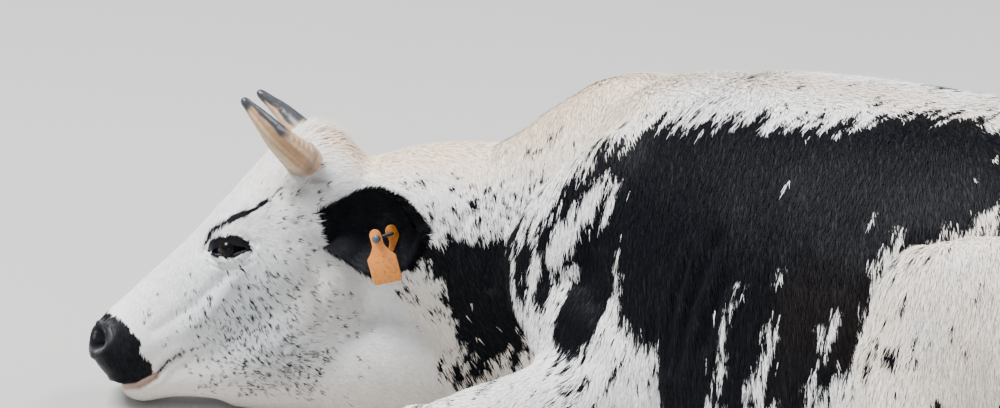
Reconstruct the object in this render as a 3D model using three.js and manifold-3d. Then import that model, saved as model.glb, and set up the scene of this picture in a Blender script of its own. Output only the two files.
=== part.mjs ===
// A vosgienne cow lying on the ground with its chin down, life size.
//
// Frame: millimetres, +Z up, the floor at Z = 0. The origin is on the floor straight under the
// withers. +X runs along the back towards the tail, -X towards the head, and the cow's left side
// is -Y. The left flank is the upper side, because the pelvis leans on the right hip.
import * as THREE from 'three';
import { mergeVertices } from 'three/addons/utils/BufferGeometryUtils.js';
import Module from 'manifold-3d';

const wasm = await Module();
wasm.setup();

// Driving dimensions
const JOINT_GAP = 0.35; // clear space between two neighbouring pieces
const FLOOR_DEPTH = 400; // how far the block that trims the underside reaches down
const WITHERS_HEIGHT = 631; // top of the shoulders, coat included
const LOIN_HEIGHT = 713; // highest point of the back
const PELVIS_LEAN = 12; // degrees that the pelvis leans to the right
const POLL = [-647, -228, 432]; // top of the head between the horns
const HEAD_TURN = 59.6; // degrees that the face looks left of straight ahead
const HEAD_DROP = 44.9; // degrees that the face line slopes down to the muzzle
const HEAD_ROLL = 23.6; // degrees that the left cheek is lifted
const EYE_RADIUS = 20;
const EYE_PLACE = [225, 85, -47]; // in the head's frame: along the face, to the left, up
const HORN_BASE_RADIUS = 28;
const RIGHT_HORN_REACH = [13, 16]; // how far the right horn's tip stands ahead of and above the left's
const EAR_LENGTH = 190;
const TAG_THICKNESS = 2.2;
const TAG_WIDTH = 45;
const TAG_FRONT_HEIGHT = 72;
const TAG_BACK_HEIGHT = 62;
const PIN_RADIUS = 3.2;
const PIN_LENGTH = 34;
const LOCK_THICKNESS = 9;
const SWITCH_LOCKS = 12;
const SWITCH_SEED = 4711;
const RANDOM_FACTOR = 1664525;
const RANDOM_STEP = 1013904223;
const RANDOM_RANGE = 2 ** 32;

const HIDE_WHITE = { color: 0xe9e4dc, roughness: 0.9 };
const HIDE_BLACK = { color: 0x17181c, roughness: 0.8 };
const HORN_TAN = { color: 0xb08a62, roughness: 0.5 };
const HOOF_GREY = { color: 0x3a3733, roughness: 0.6 };
const EYE_DARK = { color: 0x120d0b, roughness: 0.1 };
const TAG_ORANGE = { color: 0xe8924a, roughness: 0.45 };
const UDDER_PINK = { color: 0xd9a796, roughness: 0.7 };
const SWITCH_WHITE = { color: 0xddd6ca, roughness: 0.95 };

const radians = THREE.MathUtils.degToRad;
const vector = ([x, y, z]) => new THREE.Vector3(x, y, z);
const leftSide = (point) => point;
const rightSide = ([x, y, z]) => [x, -y, z];
const SIDES = { left: leftSide, right: rightSide };

// One cross section of a limb or of the trunk: its middle, its half width, and how far it
// reaches over and under the middle.
const ring = (x, y, z, half, over, under = over) => ({ at: [x, y, z], half, over, under });

const mapRings = (rings, map) => rings.map((one) => ({ ...one, at: map(one.at) }));

// Drops what only rendering needs, so that neighbouring faces share their corners.
function weld(geometry) {
  geometry.deleteAttribute('normal');
  geometry.deleteAttribute('uv');
  return mergeVertices(geometry, 1e-3);
}

// Turns all faces outwards when the shape came out inside out.
function facingOut(geometry) {
  const position = geometry.attributes.position;
  const index = geometry.index.array;
  const corners = [new THREE.Vector3(), new THREE.Vector3(), new THREE.Vector3()];
  let volume = 0;
  for (let i = 0; i < index.length; i += 3) {
    corners.forEach((corner, k) => corner.fromBufferAttribute(position, index[i + k]));
    volume += corners[0].dot(corners[1].clone().cross(corners[2]));
  }
  if (volume < 0) {
    for (let i = 0; i < index.length; i += 3) {
      [index[i], index[i + 1]] = [index[i + 1], index[i]];
    }
  }
  return geometry;
}

// A body skinned over rings that follow a smooth line. A sphere's rows of corners become the
// rings, so both ends close in a point, with a rounded cap of the given length.
function loft(rings, options = {}) {
  const { up = [0, 0, 1], sides = 12, steps = 10, caps = [10, 10], capRows = 1 } = options;
  const { square = 2, swells = [] } = options;
  const line = new THREE.CatmullRomCurve3(rings.map((one) => vector(one.at)), false, 'catmullrom');
  const sizes = rings.map((one) => new THREE.Vector3(one.half, one.over, one.under));
  const sizeLine = new THREE.CatmullRomCurve3(sizes, false, 'catmullrom');
  const rows = steps + 2 * (capRows + 1);
  const geometry = new THREE.SphereGeometry(1, sides, rows);
  const position = geometry.attributes.position;
  const uv = geometry.attributes.uv;
  const upAt = typeof up === 'function' ? up : () => up;
  for (let i = 0; i < position.count; i += 1) {
    const row = Math.round((1 - uv.getY(i)) * rows);
    const angle = uv.getX(i) * 2 * Math.PI;
    const near = Math.max(0, capRows + 1 - row);
    const far = Math.max(0, row - (rows - capRows - 1));
    const t = THREE.MathUtils.clamp((row - capRows - 1) / steps, 0, 1);
    const bend = (Math.max(near, far) / (capRows + 1)) * (Math.PI / 2);
    const shrink = near === capRows + 1 || far === capRows + 1 ? 0 : Math.cos(bend);
    const beyond = Math.sin(bend) * (far > 0 ? caps[1] : -caps[0]);
    const middle = line.getPoint(t);
    const size = sizeLine.getPoint(t);
    const ahead = line.getPoint(Math.min(1, t + 0.01));
    const along = ahead.sub(line.getPoint(Math.max(0, t - 0.01))).normalize();
    const across = along.clone().cross(vector(upAt(t))).normalize();
    const upward = across.clone().cross(along);
    const c = Math.cos(angle);
    const s = Math.sin(angle);
    const reach = s > 0 ? size.y : size.z;
    const wide = Math.sign(c) * Math.abs(c) ** (2 / square) * size.x * shrink;
    const high = Math.sign(s) * Math.abs(s) ** (2 / square) * reach * shrink;
    const point = middle.clone().addScaledVector(along, beyond);
    point.addScaledVector(across, wide).addScaledVector(upward, high);
    const outward = point.clone().sub(middle).normalize();
    for (const swell of swells) {
      const gap = point.distanceTo(vector(swell.at)) / swell.reach;
      point.addScaledVector(outward, swell.height * Math.exp(-gap * gap));
    }
    position.setXYZ(i, point.x, point.y, point.z);
  }
  return facingOut(weld(geometry));
}

// An ellipsoid turned so that its long way follows a direction.
function pebble(at, radii, along = [1, 0, 0], sides = 14) {
  const geometry = new THREE.SphereGeometry(1, sides, Math.round(sides * 0.7));
  geometry.scale(radii[0], radii[1], radii[2]);
  const turn = new THREE.Quaternion().setFromUnitVectors(vector([1, 0, 0]), vector(along).normalize());
  geometry.applyQuaternion(turn);
  geometry.translate(...at);
  return facingOut(weld(geometry));
}

// The same shape with its skin pushed out by the gap that neighbours keep.
function grown(geometry) {
  const copy = geometry.clone();
  copy.computeVertexNormals();
  const position = copy.attributes.position;
  const normal = copy.attributes.normal;
  for (let i = 0; i < position.count; i += 1) {
    position.setXYZ(
      i,
      position.getX(i) + normal.getX(i) * JOINT_GAP,
      position.getY(i) + normal.getY(i) * JOINT_GAP,
      position.getZ(i) + normal.getZ(i) * JOINT_GAP,
    );
  }
  copy.deleteAttribute('normal');
  return copy;
}

function solidOf(geometry) {
  const mesh = new wasm.Mesh({
    numProp: 3,
    vertProperties: Float32Array.from(geometry.attributes.position.array),
    triVerts: Uint32Array.from(geometry.index.array),
  });
  return new wasm.Manifold(mesh);
}

const joined = (geometries) => geometries.map(solidOf).reduce((sum, one) => sum.add(one));

// Only the largest closed surface of a piece is kept.
function largest(solid) {
  const pieces = solid.decompose();
  return pieces.reduce((best, one) => (one.volume() > best.volume() ? one : best));
}

function geometryOf(solid) {
  const mesh = solid.getMesh();
  const geometry = new THREE.BufferGeometry();
  const corners = new Float32Array(mesh.numVert * 3);
  for (let i = 0; i < mesh.numVert; i += 1) {
    for (let k = 0; k < 3; k += 1) {
      corners[i * 3 + k] = mesh.vertProperties[i * mesh.numProp + k];
    }
  }
  geometry.setAttribute('position', new THREE.BufferAttribute(corners, 3));
  geometry.setIndex(new THREE.BufferAttribute(Uint32Array.from(mesh.triVerts), 1));
  return geometry;
}

const floorBlock = new THREE.BoxGeometry(4000, 3000, FLOOR_DEPTH);
floorBlock.translate(0, 0, -FLOOR_DEPTH / 2);
const floorSolid = solidOf(weld(floorBlock));

const cow = new THREE.Group();
cow.name = 'lying_cow';
const placed = [];

const touches = (a, b) => a.min.every((low, k) => low < b.max[k] && a.max[k] > b.min[k]);

// Adds one named piece. It is trimmed by the floor and by every piece that is already there, so
// that neighbours meet face to face with the joint gap between them.
function addPiece(name, forms, look, cuts = []) {
  let solid = joined(forms).subtract(floorSolid);
  const room = solid.boundingBox();
  for (const other of placed) {
    if (touches(room, other.room)) solid = solid.subtract(other.solid);
  }
  for (const cut of cuts) solid = solid.subtract(solidOf(cut));
  const mesh = new THREE.Mesh(geometryOf(largest(solid)), new THREE.MeshStandardMaterial(look));
  mesh.name = name;
  cow.add(mesh);
  const hull = joined(forms.map(grown));
  placed.push({ name, solid: hull, room: hull.boundingBox() });
}

// The head's own frame: along the face from the poll to the muzzle, to its left, and up out of
// the forehead.
const headFrame = (() => {
  const turn = radians(HEAD_TURN);
  const drop = radians(HEAD_DROP);
  const face = new THREE.Vector3(
    -Math.cos(turn) * Math.cos(drop),
    -Math.sin(turn) * Math.cos(drop),
    -Math.sin(drop),
  );
  const level = new THREE.Vector3(0, 0, 1).cross(face).normalize();
  const brow = face.clone().cross(level);
  const roll = radians(HEAD_ROLL);
  const left = level.clone().multiplyScalar(Math.cos(roll)).addScaledVector(brow, Math.sin(roll));
  const forehead = face.clone().cross(left);
  return new THREE.Matrix4().makeBasis(face, left, forehead).setPosition(...POLL);
})();

const inHead = (geometry) => geometry.applyMatrix4(headFrame);
const headPoint = (point) => vector(point).applyMatrix4(headFrame).toArray();
const headRing = (along, up, half, over, under, left = 0) => ring(along, left, up, half, over, under);

// Right hind foot, drawn forward under the belly

function clawPair(name, knuckle, tip, look, spread = 24, tall = 34) {
  const ahead = vector(tip).sub(vector(knuckle)).normalize();
  const aside = ahead.clone().cross(new THREE.Vector3(0, 0, 1)).normalize();
  for (const [side, sign] of [['outer', 1], ['inner', -1]]) {
    const shift = (point, along) => vector(point).addScaledVector(aside, sign * spread)
      .addScaledVector(ahead, along).toArray();
    const middle = vector(knuckle).lerp(vector(tip), 0.5).toArray();
    const rings = [
      ring(...shift(knuckle, 0), spread - 3, tall * 0.95, tall),
      ring(...shift(middle, 0), spread - 1, tall * 0.75, tall),
      ring(...shift(tip, -14), spread - 5, tall * 0.4, tall * 0.9),
    ];
    const claw = loft(rings, { sides: 8, steps: 3, caps: [6, 12], square: 2.4 });
    addPiece(`${name}_claw_${side}`, [claw], look);
    const heel = vector(knuckle).addScaledVector(ahead, -26).addScaledVector(aside, sign * 17);
    heel.z += tall * 0.55;
    const dew = pebble(heel.toArray(), [15, 10, 11], ahead.toArray(), 6);
    addPiece(`${name}_dewclaw_${side}`, [dew], look);
  }
}

function rightHindFoot() {
  const rings = [
    ring(1010, 70, 48, 34, 42, 52),
    ring(950, 10, 40, 30, 36, 44),
    ring(870, -75, 36, 26, 29, 40),
    ring(800, -150, 36, 27, 30, 40),
    ring(755, -200, 37, 34, 34, 40),
    ring(722, -238, 35, 31, 30, 40),
  ];
  addPiece('right_hind_cannon', [loft(rings, { sides: 10, steps: 8, caps: [24, 8] })], HIDE_WHITE);
  clawPair('right_hind', [706, -256, 34], [640, -325, 22], HOOF_GREY);
}

// Torso: the trunk with both shoulders and upper arms

function trunkForm() {
  const rings = [
    ring(-215, -5, 300, 95, 120, 150),
    ring(-150, 0, 310, 175, 245, 240),
    ring(-60, 0, 310, 235, 300, 320),
    ring(40, 0, 300, 262, WITHERS_HEIGHT - 296, 325),
    ring(180, 0, 290, 288, 371, 315),
    ring(380, 0, 280, 330, 408, 305),
    ring(570, 8, 275, 350, LOIN_HEIGHT - 275, 300),
    ring(740, 14, 280, 330, LOIN_HEIGHT - 280, 305),
    ring(900, 20, 290, 295, 420, 315),
    ring(1040, 22, 298, 260, 408, 310),
    ring(1150, 24, 308, 215, 388, 275),
    ring(1225, 24, 330, 160, 320, 230),
  ];
  const lean = (t) => {
    const share = THREE.MathUtils.smoothstep(t, 0.25, 0.75);
    const angle = radians(PELVIS_LEAN) * share;
    return [0, Math.sin(angle), Math.cos(angle)];
  };
  const swells = [
    { at: [870, -215, 640], reach: 80, height: 26 },
    { at: [870, 280, 560], reach: 80, height: 24 },
    { at: [760, -260, 540], reach: 90, height: -22 },
    { at: [250, -250, 480], reach: 150, height: 10 },
  ];
  const shape = { sides: 22, steps: 18, caps: [30, 36], capRows: 2, square: 2.2 };
  return loft(rings, { ...shape, up: lean, swells });
}

function shoulderForms(place) {
  const outward = place([0, -1, 0]);
  const blade = [
    ring(35, -100, 560, 45, 25, 30),
    ring(0, -165, 505, 80, 45, 50),
    ring(-60, -205, 410, 98, 60, 60),
    ring(-125, -205, 330, 95, 64, 60),
    ring(-155, -200, 275, 75, 56, 60),
  ];
  const arm = [
    ring(-150, -195, 300, 78, 62, 60),
    ring(-60, -222, 268, 92, 66, 60),
    ring(40, -240, 248, 92, 62, 60),
    ring(115, -240, 240, 74, 52, 60),
  ];
  return [
    loft(mapRings(blade, place), { up: outward, sides: 12, steps: 7, caps: [20, 40] }),
    loft(mapRings(arm, place), { up: outward, sides: 12, steps: 6, caps: [40, 40] }),
  ];
}

function torso() {
  addPiece('torso', [trunkForm(), ...shoulderForms(leftSide), ...shoulderForms(rightSide)], HIDE_BLACK);
}

// Head

function skullForm() {
  const rings = [
    headRing(0, -62, 56, 52, 60),
    headRing(22, -64, 78, 80, 80),
    headRing(62, -72, 88, 96, 100),
    headRing(120, -80, 97, 102, 112),
    headRing(190, -86, 103, 105, 122),
    headRing(250, -86, 95, 104, 108),
    headRing(310, -80, 76, 100, 84),
    headRing(370, -68, 63, 93, 60),
    headRing(425, -56, 61, 84, 46),
    headRing(465, -46, 67, 77, 48),
    headRing(492, -42, 64, 62, 48),
    headRing(506, -42, 50, 42, 40),
  ];
  const swells = [-1, 1].flatMap((side) => [
    { at: [215, side * 100, -30], reach: 38, height: 12 },
    { at: [205, side * 92, 8], reach: 34, height: 6 },
    { at: [330, side * 74, -75], reach: 60, height: 5 },
    { at: [270, side * 60, 12], reach: 30, height: -3 },
    { at: [474, side * 60, 2], reach: 26, height: 6 },
    { at: [62, side * 84, -34], reach: 36, height: 10 },
    { at: [140, side * 90, -70], reach: 42, height: -7 },
  ]);
  return loft(rings, { sides: 20, steps: 22, caps: [10, 9], square: 2.35, swells });
}

function eyeOpening(side) {
  const [along, left, up] = EYE_PLACE;
  return pebble([along, side * (left + 20), up + 1], [29, 16, 10.5], [0.76, side * 0.16, 0.63], 10);
}

// Rims above and below the eye, each a tapered fold that follows the opening.
function lid(side, above) {
  const [along, left, up] = EYE_PLACE;
  const tilt = Math.atan2(0.63, 0.76);
  const rings = [];
  for (let step = 0; step <= 6; step += 1) {
    const turn = (Math.PI * step) / 6;
    const reachAlong = 31 * Math.cos(turn);
    const reachUp = (above ? 14 : -12) * Math.sin(turn);
    const x = along + reachAlong * Math.cos(tilt) - reachUp * Math.sin(tilt);
    const z = up + reachAlong * Math.sin(tilt) + reachUp * Math.cos(tilt);
    const bulge = 17 * Math.sin(turn) ** 0.7;
    const thick = 2.5 + (above ? 4.2 : 3.2) * Math.sin(turn);
    rings.push(ring(x, side * (left + 4 + bulge), z, thick, thick, thick));
  }
  return loft(rings, { up: [0, side, 0], sides: 5, steps: 6, caps: [3, 3] });
}

function nostril(side) {
  return pebble([478, side * 60, 0], [21, 20, 11], [0.85, side * 0.35, -0.42], 10);
}

function nostrilRim(side) {
  const rings = [];
  for (let step = 0; step <= 6; step += 1) {
    const turn = Math.PI * (0.1 + (1.2 * step) / 6);
    const [c, s] = [Math.cos(turn), Math.sin(turn)];
    rings.push(ring(477 + 19 * c, side * (61 - 3 * c), 2 + 13 * s, 5, 5, 5));
  }
  return loft(rings, { up: [0, side, 0], sides: 5, steps: 5, caps: [3, 3] });
}

function eyes() {
  for (const [name, side] of [['left', 1], ['right', -1]]) {
    const [along, left, up] = EYE_PLACE;
    const ball = pebble([along, side * left, up], [EYE_RADIUS, EYE_RADIUS, EYE_RADIUS], [1, 0, 0], 10);
    addPiece(`${name}_eye`, [inHead(ball)], EYE_DARK);
  }
}

function head() {
  const forms = [skullForm()];
  const cuts = [];
  for (const side of [1, -1]) {
    forms.push(lid(side, true), lid(side, false), nostrilRim(side));
    cuts.push(inHead(eyeOpening(side)), inHead(nostril(side)));
  }
  addPiece('head', forms.map(inHead), HIDE_WHITE, cuts);
}

function lowerJaw() {
  const rings = [
    headRing(507, -88, 30, 22, 18),
    headRing(490, -98, 38, 26, 24),
    headRing(462, -110, 40, 30, 28),
    headRing(425, -129, 43, 40, 40),
    headRing(390, -152, 50, 50, 50),
    headRing(350, -176, 60, 60, 56),
    headRing(300, -194, 72, 70, 68),
    headRing(250, -200, 80, 80, 68),
    headRing(200, -190, 84, 80, 74),
    headRing(150, -175, 80, 70, 72),
    headRing(112, -160, 62, 56, 60),
  ];
  const form = loft(rings, { sides: 14, steps: 11, caps: [8, 20], square: 2.2 });
  addPiece('lower_jaw', [inHead(form)], HIDE_WHITE);
}

// Horns, swept out, then up and in: along the face, to the side, up, and the share of the radius

const HORN_LINE = [
  [50, 62, -42, 1],
  [48, 98, -24, 0.96],
  [46, 126, 8, 0.8],
  [42, 140, 46, 0.56],
  [40, 142, 82, 0.3],
];

function horns() {
  for (const [name, side] of [['left', 1], ['right', -1]]) {
    const last = HORN_LINE.length - 1;
    const rings = HORN_LINE.map(([along, left, up, share], k) => {
      const radius = HORN_BASE_RADIUS * share;
      const longer = side < 0 ? (k / last) ** 2 : 0;
      const [ahead, above] = RIGHT_HORN_REACH.map((reach) => reach * longer);
      return ring(along + ahead, side * left, up + above, radius, radius);
    });
    const form = loft(rings, { up: [1, 0, 0], sides: 12, steps: 9, caps: [6, 13], capRows: 2 });
    addPiece(`${name}_horn`, [inHead(form)], HORN_TAN);
  }
}

// Ears and the tags in them

const EAR_ROOT = [104, 74, -126];
const EAR_AXIS = [-0.6, 0.49, -0.635];
const EAR_FACING = [0.45, 0.86, 0.25];
const EAR_LEAF = [[0, 26], [0.18, 40], [0.4, 60], [0.62, 66], [0.82, 52], [0.95, 25]];

const alongEar = (share, lift) => EAR_ROOT.map(
  (value, k) => value + EAR_AXIS[k] * EAR_LENGTH * share + EAR_FACING[k] * lift,
);

function earForms(side) {
  const place = ([x, y, z]) => [x, side * y, z];
  const leaf = EAR_LEAF.map(([share, half]) => ring(...place(alongEar(share, 0)), half, 9, half * 0.36 + 5));
  const cup = EAR_LEAF.slice(1).map(
    ([share, half]) => ring(...place(alongEar(share, 8)), half * 0.84, 30, half * 0.32 + 6),
  );
  const up = place(EAR_FACING);
  return {
    outer: loft(leaf, { up, sides: 12, steps: 6, caps: [6, 9] }),
    hollow: loft(cup, { up, sides: 10, steps: 5, caps: [4, 5] }),
  };
}

function ears() {
  for (const [name, side] of [['left', 1], ['right', -1]]) {
    const { outer, hollow } = earForms(side);
    addPiece(`${name}_ear`, [inHead(outer)], HIDE_BLACK, [inHead(hollow)]);
  }
}

function tagOutline(width, height) {
  const shape = new THREE.Shape();
  const neck = width * 0.2;
  shape.moveTo(-neck, 6);
  shape.absarc(0, 6, neck, Math.PI, 0, true);
  shape.lineTo(neck, -8);
  shape.quadraticCurveTo(neck, -height * 0.3, width * 0.5, -height * 0.42);
  shape.lineTo(width * 0.5, -height * 0.9);
  shape.quadraticCurveTo(width * 0.5, -height, width * 0.4, -height);
  shape.lineTo(-width * 0.4, -height);
  shape.quadraticCurveTo(-width * 0.5, -height, -width * 0.5, -height * 0.9);
  shape.lineTo(-width * 0.5, -height * 0.42);
  shape.quadraticCurveTo(-neck, -height * 0.3, -neck, -8);
  return shape;
}

function tagPanel(height, at, turn, swing) {
  const panel = new THREE.ExtrudeGeometry(tagOutline(TAG_WIDTH, height), {
    depth: TAG_THICKNESS,
    bevelEnabled: false,
    curveSegments: 3,
  });
  panel.translate(0, 0, -TAG_THICKNESS / 2);
  panel.rotateZ(radians(swing));
  panel.rotateX(Math.PI / 2);
  panel.rotateZ(radians(turn));
  panel.translate(...at);
  return facingOut(weld(panel));
}

// Each ear carries a front panel with the pin through the ear, and a rear panel behind it.
function tags() {
  for (const [name, side] of [['left', 1], ['right', -1]]) {
    const pinAt = headPoint([38, side * 141, -204]);
    const through = vector(headPoint([38 + 0.45, side * 141.86, -203.75])).sub(vector(pinAt)).normalize();
    const shift = (reach) => vector(pinAt).addScaledVector(through, reach).toArray();
    const turn = side > 0 ? 40 : 200;
    const pin = new THREE.CylinderGeometry(PIN_RADIUS, PIN_RADIUS, PIN_LENGTH, 8);
    pin.applyQuaternion(new THREE.Quaternion().setFromUnitVectors(new THREE.Vector3(0, 1, 0), through));
    pin.translate(...shift(-8));
    const button = new THREE.CylinderGeometry(9, 10, 4, 12);
    button.applyQuaternion(new THREE.Quaternion().setFromUnitVectors(new THREE.Vector3(0, 1, 0), through));
    button.translate(...shift(8));
    const front = tagPanel(TAG_FRONT_HEIGHT, shift(9), turn, side > 0 ? 15 : -8);
    const back = tagPanel(TAG_BACK_HEIGHT, shift(-24), turn + 35, side > 0 ? 24 : 6);
    addPiece(`${name}_tag_front`, [front, facingOut(weld(pin)), facingOut(weld(button))], TAG_ORANGE);
    addPiece(`${name}_tag_back`, [back], TAG_ORANGE);
  }
}

// Neck with the dewlap that pools under the jaw

function neck() {
  const crest = [
    ring(-40, 0, 350, 165, 230, 240),
    ring(-140, 0, 345, 160, 236, 260),
    ring(-225, -8, 322, 140, 208, 260),
    ring(-310, -32, 288, 122, 177, 250),
    ring(-390, -64, 262, 110, 160, 225),
    ring(-450, -95, 256, 104, 163, 210),
    ring(-520, -140, 258, 98, 147, 185),
    ring(-580, -185, 262, 90, 118, 150),
  ];
  const dewlap = [
    ring(-655, -405, 34, 20, 26, 40),
    ring(-590, -335, 44, 34, 52, 60),
    ring(-520, -258, 58, 48, 78, 80),
    ring(-440, -160, 75, 60, 90, 100),
    ring(-340, -70, 90, 72, 100, 110),
    ring(-220, -20, 115, 92, 120, 140),
  ];
  addPiece('neck', [
    loft(crest, { sides: 16, steps: 10, caps: [10, 24], square: 2.1 }),
    loft(dewlap, { sides: 10, steps: 7, caps: [16, 10] }),
  ], HIDE_WHITE);
}

// Forelegs, folded under the chest

function foreleg(name, place) {
  const outward = place([0, -1, 0]);
  const forearm = [
    ring(115, -255, 205, 62, 50, 50),
    ring(50, -278, 190, 80, 60, 56),
    ring(-50, -300, 152, 72, 58, 52),
    ring(-150, -318, 112, 56, 48, 44),
    ring(-240, -330, 74, 45, 40, 40),
    ring(-296, -335, 52, 46, 42, 42),
  ];
  const cannon = [
    ring(-296, -318, 40, 34, 34, 44),
    ring(-240, -288, 36, 27, 27, 40),
    ring(-160, -262, 34, 25, 25, 40),
    ring(-95, -250, 36, 32, 32, 44),
    ring(-55, -246, 36, 30, 29, 44),
  ];
  const upper = loft(mapRings(forearm, place), { up: outward, sides: 12, steps: 9, caps: [30, 30] });
  const lower = loft(mapRings(cannon, place), { sides: 10, steps: 7, caps: [18, 8] });
  addPiece(`${name}_forearm`, [upper], HIDE_WHITE);
  addPiece(`${name}_fore_cannon`, [lower], HIDE_WHITE);
  clawPair(`${name}_fore`, place([-34, -244, 34]), place([54, -240, 22]), HOOF_GREY);
}

// Hind legs

function leftHindLeg() {
  const outward = [0, -1, 0.2];
  const thigh = [
    ring(1165, -110, 440, 150, 70, 90),
    ring(1045, -185, 466, 175, 88, 100),
    ring(905, -243, 492, 172, 92, 100),
    ring(775, -284, 515, 142, 80, 90),
    ring(695, -305, 524, 100, 64, 70),
  ];
  const ham = [
    ring(1180, -130, 380, 130, 70, 90),
    ring(1085, -225, 350, 150, 84, 90),
    ring(965, -312, 318, 140, 72, 70),
    ring(865, -360, 300, 110, 52, 50),
  ];
  const shank = [
    ring(715, -325, 490, 84, 60, 60),
    ring(765, -362, 385, 92, 60, 56),
    ring(835, -396, 272, 76, 48, 46),
    ring(912, -420, 172, 50, 38, 36),
    ring(962, -430, 105, 42, 34, 34),
  ];
  const cannon = [
    ring(1006, -432, 60, 34, 44, 62),
    ring(940, -438, 50, 32, 40, 54),
    ring(860, -448, 38, 27, 30, 42),
    ring(780, -458, 35, 26, 27, 40),
    ring(722, -465, 37, 33, 33, 40),
    ring(684, -468, 35, 30, 30, 40),
  ];
  const heelBone = [
    ring(985, -431, 85, 24, 24),
    ring(1022, -434, 112, 22, 22),
    ring(1046, -436, 132, 19, 18),
  ];
  addPiece('left_thigh', [
    loft(thigh, { up: outward, sides: 16, steps: 9, caps: [30, 52], capRows: 2, square: 2.1 }),
    loft(ham, { up: outward, sides: 14, steps: 6, caps: [20, 24] }),
  ], HIDE_WHITE);
  const lower = loft(shank, { up: outward, sides: 14, steps: 9, caps: [40, 20] });
  addPiece('left_shank', [lower], HIDE_WHITE);
  addPiece('left_hind_cannon', [
    loft(cannon, { sides: 10, steps: 8, caps: [26, 8] }),
    loft(heelBone, { sides: 8, steps: 3, caps: [8, 12] }),
  ], HIDE_WHITE);
  clawPair('left_hind', [664, -470, 34], [570, -478, 22], HOOF_GREY);
}

function rightHindLeg() {
  const outward = [0, 1, 0.4];
  const thigh = [
    ring(1165, 130, 330, 140, 80, 90),
    ring(1060, 195, 270, 160, 90, 100),
    ring(940, 250, 215, 158, 92, 100),
    ring(840, 290, 172, 128, 82, 90),
    ring(770, 310, 148, 96, 66, 70),
  ];
  const shank = [
    ring(780, 330, 92, 74, 50, 50),
    ring(850, 270, 74, 64, 48, 46),
    ring(930, 180, 58, 50, 42, 40),
    ring(995, 95, 50, 42, 38, 36),
  ];
  const upper = loft(thigh, { up: outward, sides: 16, steps: 9, caps: [30, 48], capRows: 2 });
  addPiece('right_thigh', [upper], HIDE_WHITE);
  addPiece('right_shank', [loft(shank, { sides: 12, steps: 7, caps: [30, 20] })], HIDE_WHITE);
}

function udder() {
  const bag = [
    ring(860, -225, 70, 62, 60, 80),
    ring(930, -245, 84, 84, 86, 100),
    ring(1000, -235, 80, 76, 82, 100),
    ring(1050, -215, 76, 50, 54, 90),
  ];
  const teats = [[900, -300, 52], [965, -312, 52]].map(([x, y, z]) => {
    const rings = [
      ring(x, y + 26, z + 6, 15, 15),
      ring(x, y - 4, z, 12, 12),
      ring(x, y - 24, z - 6, 9, 9),
    ];
    return loft(rings, { sides: 6, steps: 2, caps: [4, 7] });
  });
  addPiece('udder', [loft(bag, { sides: 12, steps: 6, caps: [20, 20] }), ...teats], UDDER_PINK);
}

// Tail, laid on the floor behind the left hock, with its switch of long hair

const TAIL_LINE = [
  [1170, 98, 664, 40],
  [1240, 92, 640, 34],
  [1288, 68, 555, 29],
  [1304, 28, 410, 25],
  [1304, -40, 255, 22],
  [1294, -112, 128, 19],
  [1270, -190, 46, 17],
  [1225, -285, 20, 15],
  [1168, -375, 17, 13],
  [1104, -456, 16, 12],
];

// Repeatable random values between 0 and 1
function randomSource(seed) {
  let state = seed;
  return () => {
    state = (state * RANDOM_FACTOR + RANDOM_STEP) % RANDOM_RANGE;
    return state / RANDOM_RANGE;
  };
}

// One flat tapered lock of hair that leaves the switch and bends down to the floor
function hairLock(root, heading, length, half, random) {
  const aside = new THREE.Vector3(-heading.y, heading.x, 0);
  const wave = (random() - 0.5) * 0.5;
  const rings = [0, 0.35, 0.7, 1].map((share) => {
    const point = vector(root).addScaledVector(heading, share * length);
    point.addScaledVector(aside, wave * length * share * share);
    const taper = 1 - share * 0.8;
    point.z = THREE.MathUtils.lerp(root[2], LOCK_THICKNESS / 2, Math.min(1, share * 1.4));
    return ring(point.x, point.y, point.z, half * taper, (LOCK_THICKNESS / 2) * taper + 0.5);
  });
  return loft(rings, { sides: 5, steps: 3, caps: [2, 4], capRows: 0 });
}

const SWITCH_RINGS = [
  ring(1098, -463, 16, 13, 13, 18),
  ring(1045, -525, 19, 24, 20, 24),
  ring(980, -580, 15, 25, 15, 20),
  ring(915, -618, 9, 15, 9, 14),
];

// Locks fan out from the tuft at the tail's end, the longest at its tip.
function switchLocks() {
  const random = randomSource(SWITCH_SEED);
  const line = new THREE.CatmullRomCurve3(SWITCH_RINGS.map((one) => vector(one.at)));
  const locks = [];
  for (let k = 0; k < SWITCH_LOCKS; k += 1) {
    const share = 0.35 + 0.6 * (k / (SWITCH_LOCKS - 1));
    const heading = line.getTangent(share);
    const fan = ((k % 3) - 1) * 0.42 + (random() - 0.5) * 0.16;
    heading.applyAxisAngle(new THREE.Vector3(0, 0, 1), fan).setZ(0).normalize();
    const root = line.getPoint(share);
    root.z = Math.min(root.z, 12);
    locks.push(hairLock(root.toArray(), heading, 62 + 34 * random(), 8 + 4 * random(), random));
  }
  return locks;
}

function tail() {
  const rings = TAIL_LINE.map(([x, y, z, radius]) => ring(x, y, z, radius, radius));
  const along = { up: [1, 0, 0.3], sides: 10, steps: 18, caps: [10, 8] };
  addPiece('tail', [loft(rings, along)], HIDE_WHITE);
  const core = loft(SWITCH_RINGS, { sides: 10, steps: 6, caps: [4, 10] });
  addPiece('tail_switch', [core, ...switchLocks()], SWITCH_WHITE);
}

rightHindFoot();
torso();
eyes();
head();
lowerJaw();
horns();
tags();
ears();
neck();
for (const [name, place] of Object.entries(SIDES)) foreleg(name, place);
leftHindLeg();
rightHindLeg();
udder();
tail();

export default cow;
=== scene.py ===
import math

import bmesh
import bpy
import numpy as np
from mathutils import Matrix, Vector
from mathutils.kdtree import KDTree


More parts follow.
